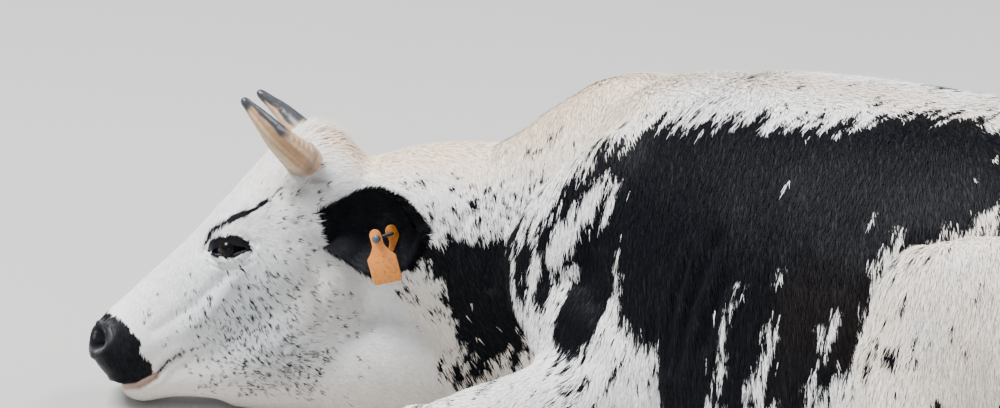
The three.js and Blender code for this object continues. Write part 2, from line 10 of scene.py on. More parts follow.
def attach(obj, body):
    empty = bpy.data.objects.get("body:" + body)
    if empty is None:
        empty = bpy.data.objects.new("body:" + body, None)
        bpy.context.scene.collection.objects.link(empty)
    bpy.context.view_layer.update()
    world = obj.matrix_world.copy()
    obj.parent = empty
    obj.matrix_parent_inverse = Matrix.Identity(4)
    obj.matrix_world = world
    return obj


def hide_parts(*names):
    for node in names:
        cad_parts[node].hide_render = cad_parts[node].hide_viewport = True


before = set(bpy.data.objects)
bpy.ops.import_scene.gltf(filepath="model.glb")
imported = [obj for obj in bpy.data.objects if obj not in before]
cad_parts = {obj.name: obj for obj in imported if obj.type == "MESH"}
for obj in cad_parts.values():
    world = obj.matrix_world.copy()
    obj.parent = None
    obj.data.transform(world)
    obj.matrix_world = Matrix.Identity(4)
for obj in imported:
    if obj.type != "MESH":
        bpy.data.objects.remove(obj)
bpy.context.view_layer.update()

bl_info = {
    "name": "Lying Cow",
    "version": (1, 0, 0),
    "blender": (4, 5, 0),
    "location": "View3D > Sidebar > Lying Cow",
    "description": "Dresses the solids of a lying cow with skin, coat, horns, hooves and ear tags",
    "category": "Object",
}

MM = 0.001
BODY = "root"
SIDES = {"left": 1, "right": -1}

# The head's own frame: along the face from the poll, to its left, and up out of the forehead
POLL = np.array([-647.0, -228.0, 432.0])
HEAD_TURN, HEAD_DROP, HEAD_ROLL = (math.radians(angle) for angle in (59.6, 44.9, 23.6))
EYE_PLACE = (225.0, 85.0, -47.0)
WITHERS_HEIGHT = 631.0
LOIN_HEIGHT = 713.0
PELVIS_LEAN = 12.0

# The animal's middle line as seen from above, used to measure round its girth
AXIS_X = (-600, -520, -450, -390, -310, -225, -140, 400, 900, 1200)
AXIS_Y = (-195, -140, -95, -64, -32, -8, 0, 0, 20, 24)
AXIS_HEIGHT = 290.0
GIRTH_MM_PER_DEGREE = 4.2


class CowBodySettings(bpy.types.PropertyGroup):
    voxel: bpy.props.FloatProperty(
        name="Skin grain", description="Size of the cells that the flesh is fused with",
        default=0.0106, min=0.004, unit="LENGTH")
    coat_depth: bpy.props.FloatProperty(
        name="Coat depth", description="How far the skin lies under the tips of the coat",
        default=0.004, unit="LENGTH")
    soften: bpy.props.IntProperty(
        name="Soften", description="Rounds of smoothing where muscles and limbs meet", default=12)


class CowCoatSettings(bpy.types.PropertyGroup):
    density: bpy.props.FloatProperty(
        name="Tufts", description="Tufts of hair on each square metre of skin", default=80000.0)
    length: bpy.props.FloatProperty(
        name="Hair length", description="Length of a tuft on the flank", default=0.017, unit="LENGTH")
    width: bpy.props.FloatProperty(
        name="Tuft width", description="Width of a tuft at its root", default=0.0021, unit="LENGTH")
    lift: bpy.props.FloatProperty(
        name="Lift", description="How far the tufts stand off the skin, as a share of their length",
        default=0.12)
    seed: bpy.props.IntProperty(
        name="Seed", description="Seed of the coat's random draw", default=11)
    white: bpy.props.FloatVectorProperty(
        name="White hair", description="Colour of the white coat", subtype="COLOR",
        size=3, default=(0.88, 0.875, 0.86))
    black: bpy.props.FloatVectorProperty(
        name="Black hair", description="Colour of the black coat", subtype="COLOR",
        size=3, default=(0.0030, 0.0036, 0.0056))
    cream: bpy.props.FloatVectorProperty(
        name="Cream hair", description="Colour of the crest and the throat", subtype="COLOR",
        size=3, default=(0.83, 0.60, 0.40))


class CowHornSettings(bpy.types.PropertyGroup):
    base_radius: bpy.props.FloatProperty(
        name="Horn radius", description="Radius of a horn where it leaves the head",
        default=0.028, unit="LENGTH")
    tan: bpy.props.FloatVectorProperty(
        name="Horn", description="Colour of the horn", subtype="COLOR",
        size=3, default=(0.40, 0.225, 0.105))
    slate: bpy.props.FloatVectorProperty(
        name="Horn tip", description="Colour of the dark side and tip", subtype="COLOR",
        size=3, default=(0.030, 0.031, 0.038))


class CowStageSettings(bpy.types.PropertyGroup):
    azimuth: bpy.props.FloatProperty(
        name="Azimuth", description="Turn of the view from the cow's left side",
        default=math.radians(49), subtype="ANGLE")
    elevation: bpy.props.FloatProperty(
        name="Elevation", description="Height of the view above the horizon",
        default=math.radians(20), subtype="ANGLE")
    distance: bpy.props.FloatProperty(
        name="Distance", description="From the camera to the withers", default=7.15, unit="LENGTH")
    lens: bpy.props.FloatProperty(
        name="Lens", description="Focal length in millimetres", default=176.4)


# Shared helpers

def curve_points(values, t):
    """A smooth line through evenly numbered values, read at shares t of its run."""
    values = np.asarray(values, float)
    place = np.clip(t, 0, 1) * (len(values) - 1)
    first = np.minimum(place.astype(int), len(values) - 2)
    share = (place - first)[:, None]
    padded = np.vstack([2 * values[0] - values[1], values, 2 * values[-1] - values[-2]])
    before, start, end, after = (padded[first + step] for step in range(4))
    leave = (end - before) / 2
    arrive = (after - start) / 2
    return (((2 * start - 2 * end + leave + arrive) * share - 3 * start + 3 * end - 2 * leave - arrive)
            * share + leave) * share + start


def unit(vectors):
    return vectors / np.maximum(np.linalg.norm(vectors, axis=-1, keepdims=True), 1e-9)


def hump(away, reach):
    """1 where away is nought, and fading to nothing past the reach."""
    return np.exp(-(away / reach) ** 2)


def blend(first, second, share):
    """The first colour with the given share of the second, a row for each point."""
    share = np.reshape(share, (-1, 1))
    return np.array(first) * (1 - share) + np.array(second) * share


def hash_grid(cells, seed):
    """A repeatable random value between -1 and 1 for each whole-number cell."""
    x, y, z = (cells[:, k].astype(np.int64) for k in range(3))
    mixed = (x * 374761393 + y * 668265263 + z * 2147483647 + seed * 974634777) & 0xFFFFFFFF
    mixed = ((mixed ^ (mixed >> 13)) * 1274126177) & 0xFFFFFFFF
    mixed = mixed ^ (mixed >> 16)
    return mixed / 2147483647.5 - 1


def noise(points, size, seed=0):
    """Smooth random field over points, with bumps of the given size."""
    scaled = points / np.asarray(size, float)
    cell = np.floor(scaled)
    share = scaled - cell
    share = share * share * (3 - 2 * share)
    total = np.zeros(len(points))
    for corner in range(8):
        step = np.array([corner & 1, (corner >> 1) & 1, (corner >> 2) & 1])
        weight = np.prod(np.where(step, share, 1 - share), axis=1)
        total += weight * hash_grid(cell + step, seed)
    return total


def smooth_step(value, low, high):
    share = np.clip((value - low) / (high - low), 0, 1)
    return share * share * (3 - 2 * share)


def head_axes():
    face = np.array([
        -math.cos(HEAD_TURN) * math.cos(HEAD_DROP),
        -math.sin(HEAD_TURN) * math.cos(HEAD_DROP),
        -math.sin(HEAD_DROP),
    ])
    level = unit(np.cross([0, 0, 1], face))
    brow = np.cross(face, level)
    left = level * math.cos(HEAD_ROLL) + brow * math.sin(HEAD_ROLL)
    return np.array([face, left, np.cross(face, left)])


HEAD = head_axes()


def to_head(points):
    return (points - POLL) @ HEAD.T


def from_head(points):
    return np.asarray(points, float) @ HEAD + POLL


def spot_distance(place, along, up):
    """How far each place on the head lies from a spot, as seen from the side."""
    return np.hypot(place[:, 0] - along, place[:, 2] - up)


def girth(points):
    """Each point's place along the body and its angle round it: 0 on the back, 90 on a flank."""
    middle = np.interp(points[:, 0], AXIS_X, AXIS_Y)
    angle = np.degrees(np.arctan2(-(points[:, 1] - middle), points[:, 2] - AXIS_HEIGHT))
    return points[:, 0], angle


def unrolled(points):
    """Place, angle and both in millimetres, as on a sheet laid round the body."""
    x, angle = girth(points)
    return x, angle, np.stack([x, angle * GIRTH_MM_PER_DEGREE], axis=1)


def on_sheet(line):
    """A line of (place along the body, angle) points in millimetres."""
    return [(along, angle * GIRTH_MM_PER_DEGREE) for along, angle in line]


def loft(rings, up=(0, 0, 1), sides=40, steps=60, caps=(10, 10), square=2.0, swells=(), cap_rows=6):
    """A closed body skinned over rings (x, y, z, half width, reach over, reach under)."""
    rings = np.array(rings, float)
    bend = np.arange(cap_rows, 0, -1) / (cap_rows + 1) * math.pi / 2
    t = np.concatenate([np.zeros(cap_rows), np.linspace(0, 1, steps + 1), np.ones(cap_rows)])
    level = np.ones(steps + 1)
    shrink = np.concatenate([np.cos(bend), level, np.cos(bend[::-1])])
    beyond = np.concatenate([-np.sin(bend) * caps[0], level * 0, np.sin(bend[::-1]) * caps[1]])
    middle = curve_points(rings[:, :3], t)
    size = curve_points(rings[:, 3:6], t)
    along = unit(curve_points(rings[:, :3], t + 0.01) - curve_points(rings[:, :3], t - 0.01))
    upward = np.array([up(share) for share in t]) if callable(up) else np.tile(up, (len(t), 1))
    across = unit(np.cross(along, upward))
    upward = np.cross(across, along)
    angle = np.linspace(0, 2 * math.pi, sides, endpoint=False)
    cosine = np.sign(np.cos(angle)) * np.abs(np.cos(angle)) ** (2 / square)
    sine = np.sign(np.sin(angle)) * np.abs(np.sin(angle)) ** (2 / square)
    wide = (size[:, 0] * shrink)[:, None] * cosine
    high = np.where(sine > 0, size[:, 1:2], size[:, 2:3]) * shrink[:, None] * sine
    spine = middle + along * beyond[:, None]
    grid = spine[:, None] + across[:, None] * wide[..., None] + upward[:, None] * high[..., None]
    points = grid.reshape(-1, 3)
    rows = len(t)
    ends = [middle[0] - along[0] * caps[0], middle[-1] + along[-1] * caps[1]]
    points = np.vstack([points, ends])
    centres = np.vstack([np.repeat(middle, sides, axis=0), middle[0], middle[-1]])
    outward = unit(points - centres)
    for place, reach, height in swells:
        gap = np.linalg.norm(points - np.array(place, float), axis=1) / reach
        points = points + outward * (height * np.exp(-gap * gap))[:, None]
    faces = []
    for row in range(rows - 1):
        for side in range(sides):
            after = (side + 1) % sides
            faces.append((row * sides + side, row * sides + after,
                          (row + 1) * sides + after, (row + 1) * sides + side))
    first, last = rows * sides, rows * sides + 1
    for side in range(sides):
        after = (side + 1) % sides
        faces.append((first, after, side))
        faces.append((last, (rows - 1) * sides + side, (rows - 1) * sides + after))
    return points, faces


def mesh_from(name, forms, recalculate=True):
    """One mesh from several (points in millimetres, faces) forms."""
    points, faces, start = [], [], 0
    for form_points, form_faces in forms:
        points.append(form_points)
        faces += [tuple(corner + start for corner in face) for face in form_faces]
        start += len(form_points)
    mesh = bpy.data.meshes.new(name)
    mesh.from_pydata((np.vstack(points) * MM).tolist(), [], faces)
    mesh.update()
    if recalculate:
        editing = bmesh.new()
        editing.from_mesh(mesh)
        bmesh.ops.recalc_face_normals(editing, faces=editing.faces)
        editing.to_mesh(mesh)
        editing.free()
    return mesh


def show(name, mesh, material, slot_name, *nodes):
    """Puts a finished mesh in the scene as a piece of the body."""
    piece = bpy.data.objects.new(name, mesh)
    bpy.context.scene.collection.objects.link(piece)
    mesh.materials.clear()
    mesh.materials.append(material)
    mesh.shade_smooth()
    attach(piece, BODY)
    if nodes:
        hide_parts(*nodes)
    return piece


def stand_in(name, mesh):
    """A helper object that is no piece of the cow."""
    piece = bpy.data.objects.new(name, mesh)
    bpy.context.scene.collection.objects.link(piece)
    return piece


def read_points(mesh):
    flat = np.empty(len(mesh.vertices) * 3, np.float32)
    mesh.vertices.foreach_get("co", flat)
    return flat.reshape(-1, 3).astype(float) / MM


def read_normals(mesh):
    flat = np.empty(len(mesh.vertices) * 3, np.float32)
    mesh.vertex_normals.foreach_get("vector", flat)
    return flat.reshape(-1, 3).astype(float)


def write_points(mesh, points):
    mesh.vertices.foreach_set("co", (points * MM).astype(np.float32).ravel())
    mesh.update()


def lift_off_floor(mesh, least):
    """Raises every corner that lies lower than the given height."""
    points = read_points(mesh)
    points[:, 2] = np.maximum(points[:, 2], least)
    write_points(mesh, points)


def store(mesh, name, kind, values):
    """Writes one value for each corner point of the mesh."""
    layer = mesh.attributes.get(name) or mesh.attributes.new(name, kind, "POINT")
    key = {"FLOAT": "value", "FLOAT_VECTOR": "vector", "FLOAT_COLOR": "color"}[kind]
    layer.data.foreach_set(key, np.ascontiguousarray(values, np.float32).ravel())


def tint(mesh, colour):
    """Gives each corner point its colour."""
    store(mesh, "tint", "FLOAT_COLOR", np.hstack([colour, np.ones((len(colour), 1))]))


def flecks(across, along, width, length, share, seed):
    """True inside scattered dashes; share is how many of the places for one are filled."""
    found = np.zeros(len(across), bool)
    u = across / (width * 2.2)
    v = along / (length * 1.5)
    cell_u, cell_v = np.floor(u), np.floor(v)
    for step_u in (-1, 0, 1):
        for step_v in (-1, 0, 1):
            cell = np.stack([cell_u + step_u, cell_v + step_v, np.zeros(len(u))], axis=1)
            chance, shift_u, shift_v, size = (0.5 + 0.5 * hash_grid(cell, seed + k) for k in range(4))
            gap_u = (u - cell[:, 0] - shift_u) * 2.2
            gap_v = (v - cell[:, 1] - shift_v) * 1.5
            lean = 0.35 * (shift_u - 0.5)
            radius = 0.28 + 0.30 * size
            found |= (chance < share) & (np.hypot(gap_u + lean * gap_v, gap_v) < radius)
    return found


def segment_distance(points, start, end):
    """Distance of flat points from a stretch between two flat points."""
    start = np.array(start, float)
    way = np.array(end, float) - start
    share = np.clip(((points - start) @ way) / (way @ way), 0, 1)
    return np.linalg.norm(points - start - share[:, None] * way, axis=1)


def line_distance(points, line):
    return np.min([segment_distance(points, a, b) for a, b in zip(line[:-1], line[1:])], axis=0)


def inside_distance(points, outline):
    """Distance from a closed outline, positive inside it."""
    closed = list(outline) + [outline[0]]
    gap = line_distance(points, closed)
    inside = np.zeros(len(points), bool)
    for (ax, ay), (bx, by) in zip(closed[:-1], closed[1:]):
        crosses = (points[:, 1] < ay) != (points[:, 1] < by)
        at = ax + (points[:, 1] - ay) / (by - ay if by != ay else 1e-9) * (bx - ax)
        inside ^= crosses & (points[:, 0] < at)
    return np.where(inside, gap, -gap)


# Forms of the flesh, in millimetres

def mirror(rings):
    return [(x, -y, z, *rest) for x, y, z, *rest in rings]


def trunk_form():
    rings = [
        (-215, -5, 300, 95, 120, 150),
        (-150, 0, 310, 175, 245, 240),
        (-60, 0, 310, 235, 300, 320),
        (40, 0, 300, 262, WITHERS_HEIGHT - 296, 325),
        (180, 0, 290, 288, 371, 315),
        (380, 0, 280, 330, 408, 305),
        (570, 8, 275, 350, LOIN_HEIGHT - 275, 300),
        (740, 14, 280, 330, LOIN_HEIGHT - 280, 305),
        (900, 20, 290, 295, 420, 315),
        (1040, 22, 298, 260, 408, 310),
        (1150, 24, 308, 215, 388, 275),
        (1225, 24, 330, 160, 320, 230),
    ]
    swells = [
        ((870, -215, 640), 80, 26),
        ((870, 280, 560), 80, 24),
        ((760, -260, 540), 90, -22),
        ((250, -250, 480), 150, 10),
    ]

    def lean(share):
        angle = math.radians(PELVIS_LEAN) * float(smooth_step(np.array(share), 0.25, 0.75))
        return (0, math.sin(angle), math.cos(angle))

    return loft(rings, lean, sides=96, steps=120, caps=(30, 36), square=2.2, swells=swells)


def shoulder_forms(map_rings, outward):
    blade = [
        (35, -100, 560, 45, 25, 30),
        (0, -165, 505, 80, 45, 50),
        (-60, -205, 410, 98, 60, 60),
        (-125, -205, 330, 95, 64, 60),
        (-155, -200, 275, 75, 56, 60),
    ]
    arm = [
        (-150, -195, 300, 78, 62, 60),
        (-60, -222, 268, 92, 66, 60),
        (40, -240, 248, 92, 62, 60),
        (115, -240, 240, 74, 52, 60),
    ]
    return [
        loft(map_rings(blade), outward, caps=(20, 40)),
        loft(map_rings(arm), outward, caps=(40, 40)),
    ]


def neck_forms():
    crest = [
        (-40, 0, 350, 165, 230, 240),
        (-140, 0, 345, 160, 236, 260),
        (-225, -8, 322, 140, 208, 260),
        (-310, -32, 288, 122, 177, 250),
        (-390, -64, 262, 110, 160, 225),
        (-450, -95, 256, 104, 163, 210),
        (-520, -140, 258, 98, 147, 185),
        (-580, -185, 262, 90, 118, 150),
    ]
    dewlap = [
        (-655, -405, 34, 20, 26, 40),
        (-590, -335, 44, 34, 52, 60),
        (-520, -258, 58, 48, 78, 80),
        (-440, -160, 75, 60, 90, 100),
        (-340, -70, 90, 72, 100, 110),
        (-220, -20, 115, 92, 120, 140),
    ]
    return [
        loft(crest, sides=64, steps=80, caps=(10, 24), square=2.1),
        loft(dewlap, caps=(16, 10)),
    ]


def skull_form():
    rows = [
        (0, -62, 56, 52, 60),
        (22, -64, 78, 80, 80),
        (62, -72, 88, 96, 100),
        (120, -80, 97, 102, 112),
        (190, -86, 103, 105, 122),
        (250, -86, 95, 104, 108),
        (310, -80, 76, 100, 84),
        (370, -68, 63, 93, 60),
        (425, -56, 61, 84, 46),
        (465, -46, 67, 77, 48),
        (492, -42, 64, 62, 48),
        (506, -42, 50, 42, 40),
    ]
    swells = []
    for side in (1, -1):
        swells += [
            ((215, side * 100, -30), 38, 12),
            ((205, side * 92, 8), 34, 6),
            ((330, side * 74, -75), 60, 5),
            ((270, side * 60, 12), 30, -3),
            ((474, side * 60, 2), 26, 6),
            ((62, side * 84, -34), 36, 10),
            ((140, side * 90, -70), 42, -7),
        ]
    rings = [(along, 0, up, half, over, under) for along, up, half, over, under in rows]
    points, faces = loft(rings, sides=96, steps=120, caps=(10, 9), square=2.35, swells=swells)
    return from_head(points), faces


def jaw_form():
    rows = [
        (507, -88, 30, 22, 18),
        (490, -98, 38, 26, 24),
        (462, -110, 40, 30, 28),
        (425, -129, 43, 40, 40),
        (390, -152, 50, 50, 50),
        (350, -176, 60, 60, 56),
        (300, -194, 72, 70, 68),
        (250, -200, 80, 80, 68),
        (200, -190, 84, 80, 74),
        (150, -175, 80, 70, 72),
        (112, -160, 62, 56, 60),
    ]
    rings = [(along, 0, up, half, over, under) for along, up, half, over, under in rows]
    points, faces = loft(rings, sides=72, steps=90, caps=(8, 20), square=2.2)
    return from_head(points), faces


def foreleg_forms(map_rings, outward):
    forearm = [
        (115, -255, 205, 62, 50, 50),
        (50, -278, 190, 80, 60, 56),
        (-50, -300, 152, 72, 58, 52),
        (-150, -318, 112, 56, 48, 44),
        (-240, -330, 74, 45, 40, 40),
        (-296, -335, 52, 46, 42, 42),
    ]
    cannon = [
        (-296, -318, 40, 34, 34, 44),
        (-240, -288, 36, 27, 27, 40),
        (-160, -262, 34, 25, 25, 40),
        (-95, -250, 36, 32, 32, 44),
        (-55, -246, 36, 30, 29, 44),
    ]
    return [
        loft(map_rings(forearm), outward, caps=(30, 30)),
        loft(map_rings(cannon), caps=(18, 8)),
    ]


def left_hind_forms():
    outward = (0, -1, 0.2)
    thigh = [
        (1165, -110, 440, 150, 70, 90),
        (1045, -185, 466, 175, 88, 100),
        (905, -243, 492, 172, 92, 100),
        (775, -284, 515, 142, 80, 90),
        (695, -305, 524, 100, 64, 70),
    ]
    ham = [
        (1180, -130, 380, 130, 70, 90),
        (1085, -225, 350, 150, 84, 90),
        (965, -312, 318, 140, 72, 70),
        (865, -360, 300, 110, 52, 50),
    ]
    shank = [
        (715, -325, 490, 84, 60, 60),
        (765, -362, 385, 92, 60, 56),
        (835, -396, 272, 76, 48, 46),
        (912, -420, 172, 50, 38, 36),
        (962, -430, 105, 42, 34, 34),
    ]
    cannon = [
        (1006, -432, 60, 34, 44, 62),
        (940, -438, 50, 32, 40, 54),
        (860, -448, 38, 27, 30, 42),
        (780, -458, 35, 26, 27, 40),
        (722, -465, 37, 33, 33, 40),
        (684, -468, 35, 30, 30, 40),
    ]
    heel = [(985, -431, 85, 24, 24, 24), (1022, -434, 112, 22, 22, 22), (1046, -436, 132, 19, 18, 18)]
    return [
        loft(thigh, outward, caps=(30, 52), square=2.1, sides=64),
        loft(ham, outward, caps=(20, 24), sides=56),
        loft(shank, outward, caps=(40, 20)),
        loft(cannon, caps=(26, 8)),
        loft(heel, caps=(8, 12), sides=20, steps=20),
    ]


def right_hind_forms():
    outward = (0, 1, 0.4)
    thigh = [
        (1165, 130, 330, 140, 80, 90),
        (1060, 195, 270, 160, 90, 100),
        (940, 250, 215, 158, 92, 100),
        (840, 290, 172, 128, 82, 90),
        (770, 310, 148, 96, 66, 70),
    ]
    shank = [
        (780, 330, 92, 74, 50, 50),
        (850, 270, 74, 64, 48, 46),
        (930, 180, 58, 50, 42, 40),
        (995, 95, 50, 42, 38, 36),
    ]
    cannon = [
        (1010, 70, 48, 34, 42, 52),
        (950, 10, 40, 30, 36, 44),
        (870, -75, 36, 26, 29, 40),
        (800, -150, 36, 27, 30, 40),
        (755, -200, 37, 34, 34, 40),
        (722, -238, 35, 31, 30, 40),
    ]
    return [
        loft(thigh, outward, caps=(30, 48), sides=56),
        loft(shank, caps=(30, 20)),
        loft(cannon, caps=(24, 8)),
    ]


def udder_forms():
    bag = [
        (860, -225, 70, 62, 60, 80),
        (930, -245, 84, 84, 86, 100),
        (1000, -235, 80, 76, 82, 100),
        (1050, -215, 76, 50, 54, 90),
    ]
    forms = [loft(bag, caps=(20, 20))]
    for x, y, z in ((900, -300, 52), (965, -312, 52)):
        teat = [(x, y + 26, z + 6, 15, 15, 15), (x, y - 4, z, 12, 12, 12), (x, y - 24, z - 6, 9, 9, 9)]
        forms.append(loft(teat, caps=(4, 7), sides=20, steps=20))
    return forms


def tail_form():
    line = [
        (1170, 98, 664, 40), (1240, 92, 640, 34), (1288, 68, 555, 29), (1304, 28, 410, 25),
        (1304, -40, 255, 22), (1294, -112, 128, 19), (1270, -190, 46, 17), (1225, -285, 20, 15),
        (1168, -375, 17, 13), (1104, -456, 16, 12),
    ]
    rings = [(x, y, z, radius, radius, radius) for x, y, z, radius in line]
    return loft(rings, (1, 0, 0.3), sides=24, steps=120, caps=(10, 8))


def croup_form():
    """Flesh that carries the line of the back on to the tail's root."""
    rings = [
        (1020, 88, 600, 120, 88, 60),
        (1085, 93, 588, 108, 98, 70),
        (1145, 97, 576, 90, 108, 80),
        (1200, 97, 566, 64, 114, 100),
        (1246, 91, 556, 42, 100, 110),
    ]
    return loft(rings, caps=(24, 16), sides=56)


SWITCH_LINE = [
    (1098, -463, 16, 13, 13, 18),
    (1045, -525, 19, 24, 20, 24),
    (980, -580, 15, 25, 15, 20),
    (915, -618, 9, 15, 9, 14),
]


def flesh_forms():
    left = (0, -1, 0)
    right = (0, 1, 0)
    forms = [trunk_form(), skull_form(), jaw_form(), tail_form(), croup_form()]
    forms += neck_forms() + left_hind_forms() + right_hind_forms() + udder_forms()
    forms += shoulder_forms(list, left) + shoulder_forms(mirror, right)
    forms += foreleg_forms(list, left) + foreleg_forms(mirror, right)
    return forms


# The skin: one mesh over all the flesh

def largest_island(mesh):
    """Deletes loose scraps and sealed pockets, and keeps the outer skin."""
    count = len(mesh.vertices)
    ends = np.empty(len(mesh.edges) * 2, np.int64)
    mesh.edges.foreach_get("vertices", ends)
    ends = ends.reshape(-1, 2)
    label = np.arange(count)
    while True:
        low = np.minimum(label[ends[:, 0]], label[ends[:, 1]])
        fresh = label.copy()
        np.minimum.at(fresh, ends[:, 0], low)
        np.minimum.at(fresh, ends[:, 1], low)
        fresh = fresh[fresh]
        if np.array_equal(fresh, label):
            break
        label = fresh
    names, sizes = np.unique(label, return_counts=True)
    keep = label == names[np.argmax(sizes)]
    if keep.all():
        return
    editing = bmesh.new()
    editing.from_mesh(mesh)
    editing.verts.ensure_lookup_table()
    scraps = [editing.verts[i] for i in np.nonzero(~keep)[0]]
    bmesh.ops.delete(editing, geom=scraps, context="VERTS")
    editing.to_mesh(mesh)
    editing.free()


def applied(source, *modifiers):
    """The mesh that an object has after the given modifiers, as a new mesh."""
    for kind, values in modifiers:
        modifier = source.modifiers.new(kind.title(), kind)
        for key, value in values.items():
            setattr(modifier, key, value)
    graph = bpy.context.evaluated_depsgraph_get()
    mesh = bpy.data.meshes.new_from_object(source.evaluated_get(graph))
    source.modifiers.clear()
    return mesh


def refine(mesh, chosen):
    """Splits every face whose corners are all chosen into four."""
    editing = bmesh.new()
    editing.from_mesh(mesh)
    editing.verts.ensure_lookup_table()
    flags = chosen.tolist()
    faces = [face for face in editing.faces if all(flags[v.index] for v in face.verts)]
    edges = list({edge for face in faces for edge in face.edges})
    bmesh.ops.subdivide_edges(editing, edges=edges, cuts=1, use_grid_fill=True, smooth=0)
    many = [face for face in editing.faces if len(face.verts) > 4]
    bmesh.ops.triangulate(editing, faces=many)
    editing.to_mesh(mesh)
    editing.free()


def head_distance(points):
    """How far each point lies from the middle of the head."""
    return np.linalg.norm(points - from_head([[260, 0, -90]]), axis=1)


def head_share(points):
    """1 on the head and the jaw, 0 on the body, with a soft edge behind the poll and cheeks."""
    place = to_head(points)
    behind = place[:, 0] - 25 - 0.35 * np.maximum(0, -place[:, 2] - 60)
    return smooth_step(behind, -20, 20) * (head_distance(points) < 360)


EYE_TILT = math.atan2(0.63, 0.76)
EYE_RADIUS = 19.4


def eye_frame(place, side):
    """Along the eye's slit, across it, and how far out a point lies, from the eye's middle."""
    along = place[:, 0] - EYE_PLACE[0]
    up = place[:, 2] - EYE_PLACE[2]
    slit = along * math.cos(EYE_TILT) + up * math.sin(EYE_TILT)
    across = -along * math.sin(EYE_TILT) + up * math.cos(EYE_TILT)
    return slit, across, place[:, 1] * side


# Grooves and swellings of the face as seen from its side: height, reach and line
MOUTH_LINE = [(512, -62), (500, -80), (485, -91), (456, -99), (425, -97), (398, -104)]
MOUTH_CORNER = [(398, -104), (380, -113), (362, -122)]
FACE_FOLDS = [
    (-7.5, 3.6, MOUTH_LINE),
    (-4.0, 5, MOUTH_CORNER),
    (3.5, 10, [(250, -88), (320, -92), (372, -86)]),
    (-2.5, 9, [(262, -70), (330, -66), (400, -52)]),
    (-3.5, 13, [(150, -110), (160, -170), (205, -232)]),
    (2.5, 9, [(250, -8), (205, -6), (170, -20)]),
    (-1.5, 5, [(300, -225), (240, -236), (195, -228)]),
    (-1.5, 5, [(280, -211), (240, -216), (195, -228)]),
]


def eye_push(place, side):
    """How far the lids and their creases rise, and how far the slit goes in."""
    slit, across, out = eye_frame(place, side)
    width = 29.0
    opening = 5.4 * np.sqrt(np.clip(1 - (slit / width) ** 2, 0, 1))
    edge = np.abs(across + 1.5) - opening
    inside = (np.abs(slit) < width) & (edge < 0) & (out > 60)
    lift = 4.5 * hump(np.hypot(slit / 1.25, across) - 19, 9) * smooth_step(-np.abs(slit), -40, -20)
    crease = -3.5 * hump(across - 24 + 0.012 * slit ** 2, 4) * (np.abs(slit) < 44)
    crease -= 2.2 * hump(across + 22 - 0.010 * slit ** 2, 3.5) * (np.abs(slit) < 38)
    crease -= 1.6 * hump(across + 30 - 0.008 * slit ** 2, 3.0) * (np.abs(slit) < 38)
    tear = -4.0 * hump(slit - 36, 10) * hump(across + 2, 4)
    return lift + crease + tear, np.where(inside, -17 * smooth_step(-edge, 0, 3.5), 0)


def nostril_push(place):
    """The hollow of a nostril and the rim round it."""
    nose_along = place[:, 0] - 476
    nose_up = place[:, 2] + 1
    slant = nose_along * 0.80 - nose_up * 0.60
    rise = nose_along * 0.60 + nose_up * 0.80
    hollow = (slant / 19) ** 2 + ((rise - 0.012 * slant ** 2) / 10.5) ** 2
    return 4.5 * hump(np.sqrt(hollow) - 1.35, 0.28) - 17 * smooth_step(-hollow, -1.15, -0.35)


def sculpt_head(points, normals):
    """Lids, nostrils, lips, cheeks and temples, pushed into the smooth head."""
    place = to_head(points)
    on_head = head_share(points)
    for side in (1, -1):
        same = (place[:, 1] * side > 20) * on_head
        push, hole = eye_push(place, side)
        points = points + normals * (push * same)[:, None]
        points = points + (HEAD[1] * side) * (hole * (same > 0))[:, None]
        outer = (place[:, 1] * side > 26) * on_head
        points = points + normals * (nostril_push(place) * outer)[:, None]
    flat = place[:, [0, 2]]
    push = 3.0 * hump(line_distance(flat, MOUTH_LINE) - 10, 6)
    push -= 5.0 * hump(spot_distance(place, 130, -40), 26)
    push -= 2.5 * hump(place[:, 1], 4.5) * smooth_step(place[:, 0], 492, 508)
    for height, reach, line in FACE_FOLDS:
        push += height * hump(line_distance(flat, line), reach)
    return points + normals * (push * on_head)[:, None]


# Folds on the left side, round the body: depth, reach and line in (place along, angle)
BODY_FOLDS = [
    (4.5, 10, [(232, 58), (222, 72), (215, 88)]),
    (5.5, 12, [(285, 52), (262, 68), (240, 86)]),
    (3.6, 11, [(330, 60), (306, 76)]),
    (5.0, 20, [(596, 66), (604, 54), (640, 42)]),
    (6.0, 13, [(176, 80), (188, 92), (186, 112)]),
    (4.0, 16, [(-175, 62), (-190, 82), (-215, 110)]),
    (3.0, 10, [(-300, 60), (-318, 90), (-330, 118)]),
    (2.5, 9, [(-372, 62), (-388, 92), (-392, 125)]),
]


def sculpt_body(points, normals):
    """Folds behind the shoulder and on the neck, the elbow crease, ribs and the flank's hollow."""
    x, angle, flat = unrolled(points)
    left = smooth_step(angle, 15, 30)
    push = np.zeros(len(points))
    for depth, reach, line in BODY_FOLDS:
        away = line_distance(flat, on_sheet(line))
        push -= depth * hump(away, reach) * left
        push += 0.45 * depth * hump(away - 2.1 * reach, reach) * left
    ribs = np.sin((x - 0.9 * (np.abs(angle) - 60)) / 66 * 2 * math.pi + 1.2 * noise(points, 150, 5))
    shown = smooth_step(x, 300, 380) * (1 - smooth_step(x, 560, 640))
    shown = shown * smooth_step(np.abs(angle), 30, 45) * (1 - smooth_step(np.abs(angle), 75, 95))
    push += 0.9 * ribs * shown
    push += 2.2 * noise(points, 85, 3) + 1.0 * noise(points, 34, 4)
    return points + normals * (push * (1 - head_share(points)))[:, None]


SKIN_NODES = (
    "torso", "neck", "head", "lower_jaw", "left_forearm", "left_fore_cannon", "right_forearm",
    "right_fore_cannon", "left_thigh", "left_shank", "left_hind_cannon", "right_thigh",
    "right_shank", "right_hind_cannon", "udder", "tail",
)


